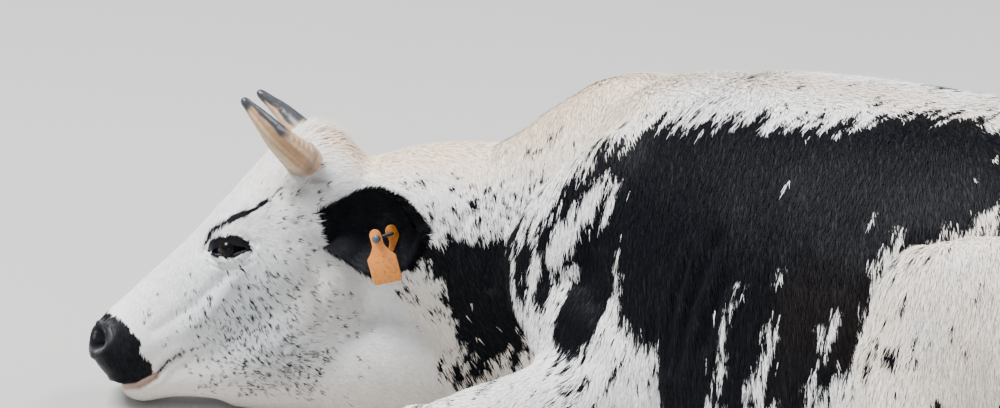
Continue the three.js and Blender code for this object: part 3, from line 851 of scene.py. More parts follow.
def build_skin(settings):
    source = stand_in("flesh", mesh_from("flesh", flesh_forms(), recalculate=False))
    mesh = applied(
        source,
        ("REMESH", {"mode": "VOXEL", "voxel_size": settings.voxel}),
        ("SMOOTH", {"factor": 0.5, "iterations": settings.soften}),
    )
    largest_island(mesh)
    points = read_points(mesh)
    refine(mesh, (to_head(points)[:, 0] > -10) & (head_distance(points) < 350))
    points = read_points(mesh)
    place = to_head(points)
    fine = np.zeros(len(points), bool)
    for side in (1, -1):
        slit, across, out = eye_frame(place, side)
        fine |= (np.hypot(slit, across) < 46) & (out > 50)
    fine |= place[:, 0] > 420
    refine(mesh, fine & (head_share(points) > 0.5))
    source.data = mesh
    mesh = applied(source, ("SMOOTH", {"factor": 0.5, "iterations": 2}))
    bpy.data.objects.remove(source)
    normals = read_normals(mesh)
    points = read_points(mesh)
    depth = settings.coat_depth / MM * (1 - 0.5 * head_share(points))
    points = points - normals * depth[:, None]
    points = sculpt_body(points, normals)
    points = sculpt_head(points, normals)
    points[:, 2] = np.maximum(points[:, 2], 1.0)
    write_points(mesh, points)
    return mesh


# Where the coat is black, white, cream or grey

LEFT_PATCH = [
    (-60, 52), (-33, 39), (10, 27), (97, 21), (218, 20), (351, 17), (433, 10), (562, 5), (750, 6),
    (950, 12), (1090, 20), (1000, 27), (850, 24), (716, 28), (646, 35), (596, 43), (590, 52),
    (600, 62), (560, 76), (500, 86), (430, 90), (350, 92), (300, 100), (240, 108), (190, 106),
    (182, 86), (120, 84), (70, 88), (10, 95), (-40, 93), (-95, 86), (-135, 88), (-152, 84),
    (-140, 72), (-105, 66), (-80, 58),
]
LEFT_NECK_PATCH = [
    (-422, 94), (-387, 85), (-344, 83), (-298, 79), (-240, 68), (-200, 60), (-160, 66), (-150, 96),
    (-215, 130), (-308, 150), (-353, 152), (-384, 143), (-412, 138), (-422, 122), (-426, 106),
]
RIGHT_PATCH = [
    (-110, -48), (-40, -30), (120, -20), (330, -16), (560, -10), (800, -14), (1000, -20),
    (1080, -34), (980, -52), (860, -70), (700, -84), (520, -92), (330, -96), (150, -98), (0, -92),
    (-100, -84), (-170, -70),
]
RIGHT_NECK_PATCH = [(-400, -84), (-300, -70), (-200, -72), (-190, -110), (-290, -140), (-380, -128)]
WHITE_FLAMES = [
    (13, [(-4, 48), (-50, 64), (-104, 79)]),
    (9, [(-22, 72), (-62, 88)]),
    (7, [(72, 66), (66, 90)]),
    (7, [(352, 70), (340, 92)]),
    (8, [(430, 66), (424, 92)]),
    (8, [(548, 60), (524, 92)]),
]
LEG_SPOTS = [
    (646, -330, 560, 16), (640, -352, 515, 9), (735, -380, 500, 12), (700, -390, 470, 8),
    (760, -400, 380, 13), (650, -372, 330, 9), (840, -395, 420, 14), (930, -390, 330, 18),
    (-262, -352, 98, 10), (-90, -340, 150, 8), (990, -360, 430, 15), (1010, -425, 150, 12),
    (860, 330, 220, 22), (960, 330, 260, 16), (-180, 350, 110, 12),
]
CHEEK_SPECKS = [
    (330, -110, 50, 0.45), (285, -150, 62, 0.62), (240, -120, 45, 0.55), (350, -170, 52, 0.55),
    (310, -200, 50, 0.70), (345, -215, 32, 0.85), (290, -245, 42, 0.85), (250, -200, 55, 0.50),
    (395, -165, 30, 0.30), (205, -150, 60, 0.30), (200, -235, 50, 0.25), (230, -90, 30, 0.30),
    (398, -22, 9, 0.9), (110, -70, 34, 0.25), (75, -105, 30, 0.35),
]
NECK_SPECKS = [
    (-460, 46, 34, 0.50), (-357, 52, 46, 0.70), (-308, 60, 36, 0.80), (-265, 50, 30, 0.85),
    (-228, 38, 16, 0.85), (-234, 28, 13, 0.90), (-174, 28, 13, 0.75), (-405, 62, 36, 0.80),
    (-460, 130, 26, 0.90), (-362, 70, 34, 0.90),
    (-420, 74, 44, 0.75), (-430, 110, 34, 0.70), (-400, 150, 40, 0.40), (-240, 44, 60, 0.25),
    (-340, 72, 50, 0.85), (-180, 60, 46, 0.55), (-470, 130, 46, 0.30), (-90, 54, 44, 0.40),
    (-60, 85, 60, 0.50), (60, 96, 60, 0.45), (300, 92, 90, 0.30), (470, 84, 80, 0.35),
    (620, 60, 34, 0.30), (690, 38, 70, 0.25), (-270, 30, 30, 0.25), (70, 20, 60, 0.10),
]
# Where grey-brown shade is painted on the face: along, up, reach and strength
PAINTED_SHADE_PLACES = [
    (86, -64, 24, 1.0), (120, -92, 26, 0.7), (58, -72, 22, 0.9), (130, -120, 22, 0.7),
    (150, -60, 34, 0.5), (228, -18, 16, 0.7), (180, -30, 22, 0.5), (262, -84, 26, 0.35),
    (290, -215, 60, 0.45), (200, -190, 60, 0.35), (330, -120, 50, 0.25), (170, -120, 30, 0.3),
]
EAR_PATCH = [
    (96, -104), (121, -136), (123, -181), (118, -202), (86, -238), (48, -244), (-4, -226),
    (-16, -191), (8, -139), (42, -114), (70, -104),
]
MUZZLE_EDGE_UP = (-97, -83, -58, -48, -28, 0, 22, 34)
MUZZLE_EDGE_ALONG = (457, 443, 442, 429, 430, 428, 437, 446)
LIP_LINE = [(512, -58), (503, -72), (485, -86), (456, -95), (440, -95)]
BROW_STREAK = [(252, -15), (226, -10), (190, -19), (160, -30), (128, -38), (98, -40)]


# A distance that counts as well outside every mark
OUTSIDE = -20


def ragged(points, x, angle, strength=1.0):
    """Streaks that a patch's edge breaks into, drawn out along the lie of the hair."""
    girth_line = np.stack([x, angle * GIRTH_MM_PER_DEGREE, np.zeros(len(x))], axis=1)
    flames = 17 * noise(girth_line, (15, 70, 1), 21) + 15 * noise(girth_line, (6.5, 38, 1), 22)
    flames += 7 * noise(girth_line, (3, 16, 1), 24)
    neck = smooth_step(-x, 150, 260)
    broken = 17 * noise(points, 17, 25) + 13 * noise(points, 8, 26)
    return strength * (flames * (1 - 0.6 * neck) + broken * neck + 10 * noise(points, 46, 23))


def body_black(points):
    """Distance inside the black patches and spots of the body, less where it is outside."""
    x, angle, flat = unrolled(points)
    patches = [LEFT_PATCH, LEFT_NECK_PATCH, RIGHT_PATCH, RIGHT_NECK_PATCH]
    gap = np.max([inside_distance(flat, on_sheet(line)) for line in patches], axis=0)
    for half, line in WHITE_FLAMES:
        gap = np.minimum(gap, line_distance(flat, on_sheet(line)) - half)
    gap = gap + ragged(points, x, angle)
    low = (points[:, 2] < 190) & (np.abs(x - 20) < 400)
    gap = np.where((np.abs(points[:, 1]) > 262) & low, -30, gap)
    for sx, sy, sz, radius in LEG_SPOTS:
        away = np.linalg.norm(points - np.array([sx, sy, sz]), axis=1)
        gap = np.maximum(gap, radius - away + 5 * noise(points, 9, 31))
    hind = (x > 620) & (points[:, 1] < -285)
    return np.where(hind & (gap > 40), OUTSIDE, gap)


def speck_share(points, gap):
    """How many of the places for a dark dash are filled, over the white coat of the body."""
    x, angle = girth(points)
    share = 0.55 * np.exp(-np.maximum(0, -gap) / 26)
    turn = np.where(angle > 0, angle, -angle + 12)
    for along, round_at, reach, amount in NECK_SPECKS:
        away = np.hypot(x - along, (turn - round_at) * GIRTH_MM_PER_DEGREE)
        share = np.maximum(share, amount * hump(away, reach))
    return np.clip(share, 0, 0.9)


def cheek_share(place):
    """The same over the face: the specks crowd on the cheek and along the jaw."""
    share = np.zeros(len(place))
    for along, up, reach, amount in CHEEK_SPECKS:
        away = spot_distance(place, along, up)
        share = np.maximum(share, amount * hump(away, reach))
    return share * (np.abs(place[:, 1]) > 25)


def body_dashes(points, gap):
    """Dark dashes of three sizes over the white of the body."""
    x, angle = girth(points)
    drawn = angle * GIRTH_MM_PER_DEGREE
    share = speck_share(points, gap)
    large = flecks(x, drawn, 6.0, 17.0, share, 301)
    small = flecks(x, drawn, 3.2, 9.0, share * 0.9, 311)
    neck = smooth_step(-x, 120, 180) * (1 - smooth_step(-x, 480, 530))
    spots = flecks(x, drawn, 12.0, 15.0, share * 0.85 * neck, 351)
    return large | small | spots


def face_dashes(place):
    """Dark dashes of two sizes over the face, slanting down and back."""
    share = np.minimum(cheek_share(place) * 1.2, 0.95)
    side = np.where(place[:, 1] > 0, 0, 4000)
    along = place[:, 0] * 0.82 + place[:, 2] * 0.57
    down = place[:, 2] * 0.82 - place[:, 0] * 0.57
    large = flecks(along + side, down, 2.9, 9.0, share, 321)
    small = flecks(along + side, down, 1.7, 5.5, share * 0.9, 331)
    return large | small


def white_flecks(points, gap):
    """Short white dashes inside the black, close to its edge."""
    x, angle = girth(points)
    share = 0.34 * np.exp(-np.maximum(0, gap) / 17) + 0.002
    return flecks(x, angle * GIRTH_MM_PER_DEGREE, 4.0, 14.0, share, 341)


def face_gap(points, place):
    """Distance inside the face's black marks: muzzle, brow streak, eyes and ears, and inside a shadow
    painted black along the mouth's crease.
    """
    flat = place[:, [0, 2]]
    muzzle = place[:, 0] - np.interp(place[:, 2], MUZZLE_EDGE_UP, MUZZLE_EDGE_ALONG)
    muzzle += 3.0 * noise(points, 8, 41) + 2.0 * noise(points, 3.5, 42)
    lip = np.interp(place[:, 0], [440, 456, 485, 503, 512], [-95, -95, -86, -72, -58])
    gap = np.where(place[:, 2] > lip, muzzle, OUTSIDE)
    streak = 4.8 * smooth_step(place[:, 0], 96, 185) * (1 - 0.6 * smooth_step(place[:, 0], 215, 252))
    streak = streak - line_distance(flat, BROW_STREAK)
    streak = np.where(np.abs(place[:, 1]) > 30, streak + 2.6 * noise(points, 5, 43), OUTSIDE)
    ear = inside_distance(flat, EAR_PATCH) - 6 + 4 * noise(points, 7, 45)
    ear = np.where(np.abs(place[:, 1]) > 40, ear, OUTSIDE)
    # Painted shadow: black hair along the crease of the mouth and its corner
    mouth_shadow = np.minimum(line_distance(flat, MOUTH_LINE[3:]), line_distance(flat, MOUTH_CORNER) + 0.9)
    mouth_shadow = 2.3 - mouth_shadow + 0.8 * noise(points, 5, 46)
    mouth_shadow = np.where(np.abs(place[:, 1]) > 20, mouth_shadow, OUTSIDE)
    gap = np.max([gap, streak, ear, mouth_shadow], axis=0)
    for side in (1, -1):
        slit, across, out = eye_frame(place, side)
        lid = 1 - np.hypot(slit / 36, (across - 3) / 17.0) + 0.10 * noise(points, 7, 44)
        gap = np.where(out > 50, np.maximum(gap, lid * 14), gap)
    return gap


def pigment(points, scatter=None):
    """1 where the hair is black and 0 where it is white."""
    place = to_head(points)
    on_face = head_share(points) > 0.5
    stray = 0 if scatter is None else 7 * (scatter - 0.5)
    gap = body_black(points) + stray
    body = ((gap > 0) & ~white_flecks(points, gap)) | body_dashes(points, gap)
    face = (face_gap(points, place) + 0.3 * stray > 0) | face_dashes(place)
    right = np.array([1, -1, 1])
    tip = EAR_ROOT + EAR_AXIS * EAR_LENGTH * 0.85
    behind_ear = segment_distance(place, EAR_ROOT * right, tip * right) < 48
    return (np.where(on_face, face, body) | behind_ear).astype(float)


# Colours that the coat, the bare skin, the eyes and the horns share out, in linear light
BLUE_GREY = (0.56, 0.615, 0.68)
# Grey-brown of the shade painted on the face
PAINTED_SHADE_BROWN = (0.20, 0.185, 0.17)
LIP_PINK = (0.50, 0.30, 0.24)
UDDER_PINK = (0.62, 0.36, 0.29)
SWITCH_TONE = (0.52, 0.47, 0.39)
EYE_WHITE = (0.012, 0.009, 0.008)
IRIS = (0.005, 0.003, 0.002)
PUPIL = (0.002, 0.002, 0.004)
HORN_PALE = (0.66, 0.52, 0.36)
HORN_PINK = (0.50, 0.30, 0.22)
HORN_DULL = (0.20, 0.165, 0.13)


def coat_colour(points, colours, scatter=None):
    """Hair colour at each point, with cream, blue-grey and pink tones where the cow has them, and grey-brown
    shade painted round the horn bases, ear roots and eyes and over the cheeks and jaw.
    """
    black = pigment(points, scatter)
    x, angle = girth(points)
    place = to_head(points)
    face = head_share(points)
    white = np.tile(np.array(colours.white), (len(points), 1))
    patchy = 0.5 + 0.5 * noise(points, 60, 61)
    neck = smooth_step(-x, 60, 200) * (1 - face)
    high_neck = smooth_step(-x, -60, 110) * (1 - face)
    crest = (1 - smooth_step(np.abs(angle), 22, 56)) * high_neck * (0.55 + 0.35 * patchy)
    throat = smooth_step(np.abs(angle), 105, 140) * neck * 0.35
    spine = hump(angle, 9) * smooth_step(x, -60, 60) * (0.20 + 0.45 * patchy)
    low = (1 - smooth_step(points[:, 2], 20, 140)) * 0.35
    jowl = hump(spot_distance(place, 190, -200), 60) * face * 0.25
    forehead = hump(spot_distance(place, 90, 10), 60) * face * 0.22
    thigh = smooth_step(x, 560, 640) * (0.22 + 0.30 * patchy)
    warm = np.max([crest, throat, spine, low, jowl, forehead, thigh], axis=0)
    white = blend(white, colours.cream, np.clip(warm, 0, 1))
    cheek = hump(spot_distance(place, 280, -140), 105) * face
    white = blend(white, BLUE_GREY, np.clip(cheek * (0.65 + 0.35 * patchy), 0, 1) * 0.70)
    # Painted shade: grey-brown darkening round the horn bases, ear roots and eyes and over the cheeks and
    # jaw, mottled by noise
    painted_shade = np.zeros(len(points))
    for along, up, reach, amount in PAINTED_SHADE_PLACES:
        away = spot_distance(place, along, up)
        painted_shade = np.maximum(painted_shade, amount * hump(away, reach))
    mottled = 0.55 + 0.9 * np.clip(noise(points, 9, 63), 0, 1)
    painted_shade = painted_shade * face * (np.abs(place[:, 1]) > 35) * mottled
    white = blend(white, PAINTED_SHADE_BROWN, np.clip(painted_shade, 0, 0.8))
    dark = np.tile(np.array(colours.black), (len(points), 1))
    brown = (smooth_step(noise(points, 120, 62), -0.1, 0.7) * smooth_step(x, 250, 420))[:, None]
    dark = dark + brown * np.array([0.005, 0.0025, 0.0008])
    colour = blend(white, dark, black)
    if scatter is not None:
        shade = 1 + 0.13 * (scatter - 0.5)[:, None] * 2
        colour = colour * shade
    return np.clip(colour, 0.001, 0.93)


def bare_skin(points):
    """1 on hairless skin: nose pad, nostrils, lid rims, lips and udder."""
    place = to_head(points)
    face = head_share(points)
    pad = smooth_step(place[:, 0] + 0.25 * place[:, 2], 474, 488) * smooth_step(place[:, 2], -66, -54)
    bare = pad * face
    for side in (1, -1):
        slit, across, out = eye_frame(place, side)
        rim = smooth_step(-np.hypot(slit / 33, across / 12.5), -1.15, -0.95) * (out > 60)
        bare = np.maximum(bare, rim * face)
        away = np.hypot((place[:, 0] - 476) / 24, (place[:, 2] + 1) / 17)
        bare = np.maximum(bare, smooth_step(-away, -1.25, -1.0) * (place[:, 1] * side > 20) * face)
    flat = place[:, [0, 2]]
    lips = smooth_step(-line_distance(flat, [(along, up - 4) for along, up in LIP_LINE]), -6, -4) * face
    return np.max([bare, lips, udder_share(points)], axis=0)


def udder_share(points):
    """1 on the udder and 0 off it, with a soft and uneven edge."""
    away = (points - np.array([955, -245, 80])) / np.array([140, 105, 110])
    return smooth_step(-np.linalg.norm(away, axis=1) + 0.05 * noise(points, 20, 64), -1.10, -0.88)


def skin_colour(points, colours):
    """The coat's own markings, with pink lips and udder, and a painted sheen on the rim round each nostril.
    """
    colour = coat_colour(points, colours)
    place = to_head(points)
    face = head_share(points)
    flat = place[:, [0, 2]]
    lower_lip = [(along, up - 5) for along, up in LIP_LINE[:4]]
    pink = smooth_step(-line_distance(flat, lower_lip), -7, -3)
    colour = blend(colour, LIP_PINK, pink * face * 0.85)
    colour = blend(colour, UDDER_PINK, udder_share(points))
    # Painted sheen: the rim round each nostril is made a little lighter
    for side in (1, -1):
        away = np.hypot((place[:, 0] - 472) / 26, (place[:, 2] - 6) / 19)
        rim = hump(away - 1.0, 0.20) * (place[:, 1] * side > 20) * face
        colour = colour + (rim * 0.055)[:, None] * np.array([0.95, 0.9, 1.0])
    return colour


# The lie of the hair: at each place, the way that it points

HAIR_LIE = [
    ((0, 0, 631), (0.9, -0.25, -0.3)), ((300, 0, 675), (1, -0.2, 0)), ((700, 0, 713), (1, 0, 0)),
    ((1100, 80, 690), (1, 0, 0)), ((0, -240, 450), (0.25, 0, -1)), ((300, -300, 450), (0.30, 0, -1)),
    ((550, -300, 450), (0.35, 0, -1)), ((100, -290, 250), (0.10, 0, -1)), ((300, -320, 280), (0.30, 0, -1)),
    ((100, -150, 590), (0.45, -0.5, -0.7)), ((350, -160, 640), (0.5, -0.5, -0.6)),
    ((600, -170, 660), (0.55, -0.5, -0.6)), ((850, -200, 640), (0.6, -0.3, -0.8)),
    ((0, 240, 450), (0.25, 0, -1)), ((300, 300, 450), (0.3, 0, -1)), ((600, 320, 400), (0.3, 0, -1)),
    ((300, 150, 640), (0.5, 0.5, -0.6)), ((700, 180, 640), (0.5, 0.5, -0.6)),
    ((900, 300, 300), (0.2, 0, -1)), ((300, 300, 200), (0.6, 0, -1)), ((300, 0, 0), (1, 0, 0)),
    ((-130, -260, 320), (-0.1, 0, -1)), ((-200, -60, 550), (0.8, -0.3, -0.6)),
    ((-350, -60, 460), (0.7, -0.25, -0.7)), ((-500, -135, 410), (0.8, 0.1, -0.6)),
    ((-300, -150, 330), (0.35, 0, -1)), ((-420, -195, 280), (0.5, 0, -1)),
    ((-350, -150, 120), (0.5, 0.1, -0.8)), ((-480, -260, 80), (0.8, 0.3, -0.4)),
    ((-300, 100, 300), (0.4, 0, -1)), ((-450, 20, 300), (0.5, 0.3, -1)),
    ((50, -340, 190), (-0.75, -0.1, -0.6)), ((-150, -360, 120), (-0.9, -0.1, -0.35)),
    ((-300, -370, 60), (-0.9, -0.2, -0.3)), ((50, 340, 190), (-0.75, 0.1, -0.6)),
    ((-150, 360, 120), (-0.9, 0.1, -0.35)), ((900, -330, 500), (0.1, -0.1, -1)),
    ((680, -340, 480), (0.05, -0.2, -1)), ((1100, -220, 450), (0.1, -0.2, -1)),
    ((780, -400, 380), (0.35, -0.1, -1)), ((900, -440, 200), (0.45, 0, -1)),
    ((850, -470, 50), (-1, 0, -0.1)), ((1240, 60, 450), (0.1, -0.1, -1)), ((1300, 0, 350), (0, -0.4, -1)),
    ((1250, -230, 40), (-0.5, -0.8, -0.2)), ((880, 330, 200), (-0.6, 0.2, -0.8)),
]
HEAD_LIE = [
    ((20, 0, 0), (-1, 0, 0)), ((90, 0, 30), (-1, 0, 0)), ((170, 0, 25), (-0.6, 0, 0)),
    ((235, 0, 20), (0.4, 0, 0)), ((330, 0, 20), (1, 0, 0)), ((440, 0, 30), (1, 0.1, 0)),
    ((230, 105, -10), (-0.6, 0, 0.3)), ((240, 100, -80), (0.3, 0, -0.9)), ((320, 75, -60), (0.55, 0, -1)),
    ((400, 62, -60), (0.7, 0, -1)), ((455, 66, -60), (0.6, 0, -1)), ((300, 85, -140), (0.45, 0, -1)),
    ((220, 95, -160), (0.1, 0, -0.9)), ((120, 90, -100), (-0.8, 0, -0.6)),
    ((250, 80, -240), (-0.55, 0, -0.8)),
    ((370, 60, -190), (-0.5, 0, -0.7)), ((460, 40, -125), (-0.6, 0, -0.3)), ((100, 90, -20), (-1, 0, 0.1)),
    ((230, -105, -10), (-0.6, 0, 0.3)), ((240, -100, -80), (0.3, 0, -0.9)), ((320, -75, -60), (0.55, 0, -1)),
    ((400, -62, -60), (0.7, 0, -1)), ((300, -85, -140), (0.45, 0, -1)), ((220, -95, -160), (0.1, 0, -0.9)),
    ((120, -90, -100), (-0.8, 0, -0.6)), ((250, -80, -240), (-0.75, 0, -0.6)),
    ((100, -90, -20), (-1, 0, 0.1)),
]


def hair_lie(points, normals):
    """The direction of the hair on the skin, blended from the nearest known places."""
    places = [np.array(place, float) for place, _ in HAIR_LIE]
    ways = [np.array(way, float) for _, way in HAIR_LIE]
    places += [from_head([place])[0] for place, _ in HEAD_LIE]
    ways += [np.array(way, float) @ HEAD for _, way in HEAD_LIE]
    total = np.zeros((len(points), 3))
    for place, way in zip(places, unit(np.array(ways))):
        away = np.linalg.norm(points - place, axis=1)
        total += way * (1 / (away ** 3 + 8000))[:, None]
    total = unit(total)
    drift = np.stack([noise(points, 70, 71 + k) for k in range(3)], axis=1)
    total = total + 0.22 * drift
    flat = total - normals * np.sum(total * normals, axis=1)[:, None]
    return unit(flat)


# Materials

class Wiring:
    """Short calls for building a material's or a geometry's nodes."""

    def __init__(self, tree):
        self.tree = tree

    def add(self, kind, values=None, **links):
        node = self.tree.nodes.new(kind)
        for key, value in (values or {}).items():
            setattr(node, key, value)
        for key, value in links.items():
            self.plug(node, key, value)
        return node

    def plug(self, node, key, value):
        name = key.replace("_", " ")
        socket = next((s for s in node.inputs if s.identifier == key and s.enabled), None)
        socket = socket or next(s for s in node.inputs if s.name == name and s.enabled)
        self.join(socket, value)

    def join(self, socket, value):
        """Links a socket to a node or its output, or sets it to a plain value."""
        if isinstance(value, bpy.types.Node):
            value = value.outputs[0]
        if isinstance(value, bpy.types.NodeSocket):
            self.tree.links.new(value, socket)
        else:
            socket.default_value = value

    def compute(self, kind, operation, *values):
        """A node that reckons with plain values or with what other nodes give."""
        node = self.add(kind, {"operation": operation})
        for socket, value in zip(node.inputs, values):
            self.join(socket, value)
        return node

    def space(self):
        """Places in the object's own space."""
        return self.add("ShaderNodeTexCoord").outputs["Object"]

    def painted(self, name, output):
        """What the mesh has stored under a name."""
        return self.add("ShaderNodeAttribute", {"attribute_name": name}).outputs[output]

    def clouds(self, scale, **values):
        """Random noise in the object's own space."""
        return self.add("ShaderNodeTexNoise", Vector=self.space(), Scale=scale, **values).outputs[0]

    def span(self, value, low, high):
        """A value from 0 to 1, laid over a range."""
        return self.add("ShaderNodeMapRange", Value=value, To_Min=low, To_Max=high)

    def shaded_tint(self, value, low, high):
        """The painted colour, made darker and lighter by a value."""
        colour = self.add("ShaderNodeVectorMath", {"operation": "SCALE"})
        self.join(colour.inputs[0], self.painted("tint", "Color"))
        self.join(colour.inputs["Scale"], self.span(value, low, high))
        return colour

    def two_tone(self, value, low, high, start=0.0, end=1.0):
        """A colour that goes from one to another as a value grows."""
        ramp = self.add("ShaderNodeValToRGB", Fac=value)
        for element, colour, place in zip(ramp.color_ramp.elements, (low, high), (start, end)):
            element.position = place
            element.color = (*colour, 1)
        return ramp

    def surface(self, specular=0.5, **values):
        """The surface itself, joined to the material's output."""
        shader = self.add("ShaderNodeBsdfPrincipled", **values)
        shader.inputs["Specular IOR Level"].default_value = specular
        self.add("ShaderNodeOutputMaterial", Surface=shader)
        return shader


def material_base(name):
    """An empty material and the wiring of its nodes."""
    material = bpy.data.materials.new(name)
    material.use_nodes = True
    material.node_tree.nodes.clear()
    return material, Wiring(material.node_tree)


def hide_material():
    """Skin with a fine grain like short hair, and pebbled where it is bare."""
    material, wiring = material_base("skin_hide")
    bare = wiring.painted("bare", "Fac")
    fine = wiring.clouds(1 / 0.0016, Detail=3.0, Roughness=0.6)
    broad = wiring.clouds(1 / 0.012, Detail=2.0, Roughness=0.6)
    pebbles = wiring.add("ShaderNodeTexVoronoi", {"feature": "DISTANCE_TO_EDGE"},
                         Vector=wiring.space(), Scale=420.0)
    relief = wiring.add("ShaderNodeMix", {"data_type": "FLOAT"}, Factor_Float=bare)
    wiring.join(relief.inputs[2], fine)
    wiring.join(relief.inputs[3], pebbles.outputs["Distance"])
    bump = wiring.add("ShaderNodeBump", Strength=0.45, Distance=0.0009, Height=relief.outputs[0])
    soft = wiring.add("ShaderNodeBump", Strength=0.3, Distance=0.002, Height=broad, Normal=bump)
    wiring.surface(0.16, Base_Color=wiring.shaded_tint(fine, 0.86, 1.14),
                   Roughness=wiring.span(bare, 0.62, 0.40), Normal=soft)
    return material


def hair_material():
    """The tufts: each has its own colour and a faint gloss."""
    material, wiring = material_base("coat_hair")
    wiring.surface(0.06, Base_Color=wiring.painted("tint", "Color"), Roughness=0.55)
    return material


def horn_material():
    material, wiring = material_base("horn_sheath")
    grain = wiring.clouds(160.0, Detail=4.0, Roughness=0.6)
    bump = wiring.add("ShaderNodeBump", Strength=0.35, Distance=0.0008, Height=grain)
    wiring.surface(Base_Color=wiring.shaded_tint(grain, 0.72, 1.25), Roughness=0.42, Normal=bump)
    return material


def hoof_material():
    material, wiring = material_base("hoof_shell")
    lines = wiring.add("ShaderNodeTexWave", {"wave_type": "BANDS", "bands_direction": "Z"},
                       Vector=wiring.space(), Scale=70.0, Distortion=3.0, Detail=3.0).outputs["Fac"]
    tone = wiring.two_tone(lines, (0.028, 0.025, 0.022), (0.105, 0.088, 0.070))
    bump = wiring.add("ShaderNodeBump", Strength=0.5, Distance=0.0008, Height=lines)
    wiring.surface(Base_Color=tone, Roughness=0.5, Normal=bump)
    return material


def eye_material():
    material, wiring = material_base("eyeball_wet")
    wiring.surface(0.15, Base_Color=wiring.painted("tint", "Color"), Roughness=0.16)
    return material


def tag_material():
    """Stained orange plastic that lets a little light in."""
    material, wiring = material_base("tag_plastic")
    stains = wiring.clouds(190.0, Detail=5.0, Roughness=0.7)
    tone = wiring.two_tone(stains, (0.42, 0.13, 0.02), (0.80, 0.27, 0.035), 0.30, 0.50)
    bump = wiring.add("ShaderNodeBump", Strength=0.25, Distance=0.0004, Height=stains)
    shader = wiring.surface(Base_Color=tone, Roughness=0.42, Normal=bump)
    shader.inputs["Subsurface Weight"].default_value = 0.15
    shader.inputs["Subsurface Radius"].default_value = (0.004, 0.002, 0.001)
    return material


def pin_material():
    material, wiring = material_base("tag_steel")
    scuffs = wiring.clouds(400.0, Detail=3.0)
    tone = wiring.two_tone(scuffs, (0.030, 0.034, 0.042), (0.110, 0.120, 0.140))
    wiring.surface(Base_Color=tone, Roughness=0.45)
    return material


def floor_material():
    material, wiring = material_base("studio_floor")
    cloud = wiring.clouds(0.7, Detail=2.0)
    tone = wiring.two_tone(cloud, (0.40, 0.40, 0.385), (0.45, 0.45, 0.435))
    wiring.surface(Base_Color=tone, Roughness=0.8)
    return material


def material_named(name, maker, *values):
    return bpy.data.materials.get(name) or maker(*values)


# The coat: tufts spread over the skin by geometry nodes

def tuft_blade():
    """One short flat tuft, a metre long and wide, scaled where it grows."""
    mesh = bpy.data.meshes.new("tuft_blade")
    corners = [(-0.15, -0.5, 0), (-0.15, 0.5, 0), (0.35, 0, 0), (-0.1, 0, 1)]
    faces = [(0, 1, 2), (1, 0, 3), (2, 1, 3), (0, 2, 3)]
    mesh.from_pydata(corners, [], faces)
    return mesh


def lock_blade():
    """A longer tuft that bends towards the skin."""
    mesh = bpy.data.meshes.new("lock_blade")
    corners = [(-0.2, -0.5, 0), (-0.2, 0.5, 0), (0.4, 0, 0)]
    corners += [(-0.35, -0.36, 0.5), (-0.35, 0.36, 0.5), (0.05, 0, 0.5), (-2.2, 0, 1)]
    faces = [(0, 1, 2), (1, 0, 3, 4), (2, 1, 4, 5), (0, 2, 5, 3), (4, 3, 6), (5, 4, 6), (3, 5, 6)]
    mesh.from_pydata(corners, [], faces)
    return mesh


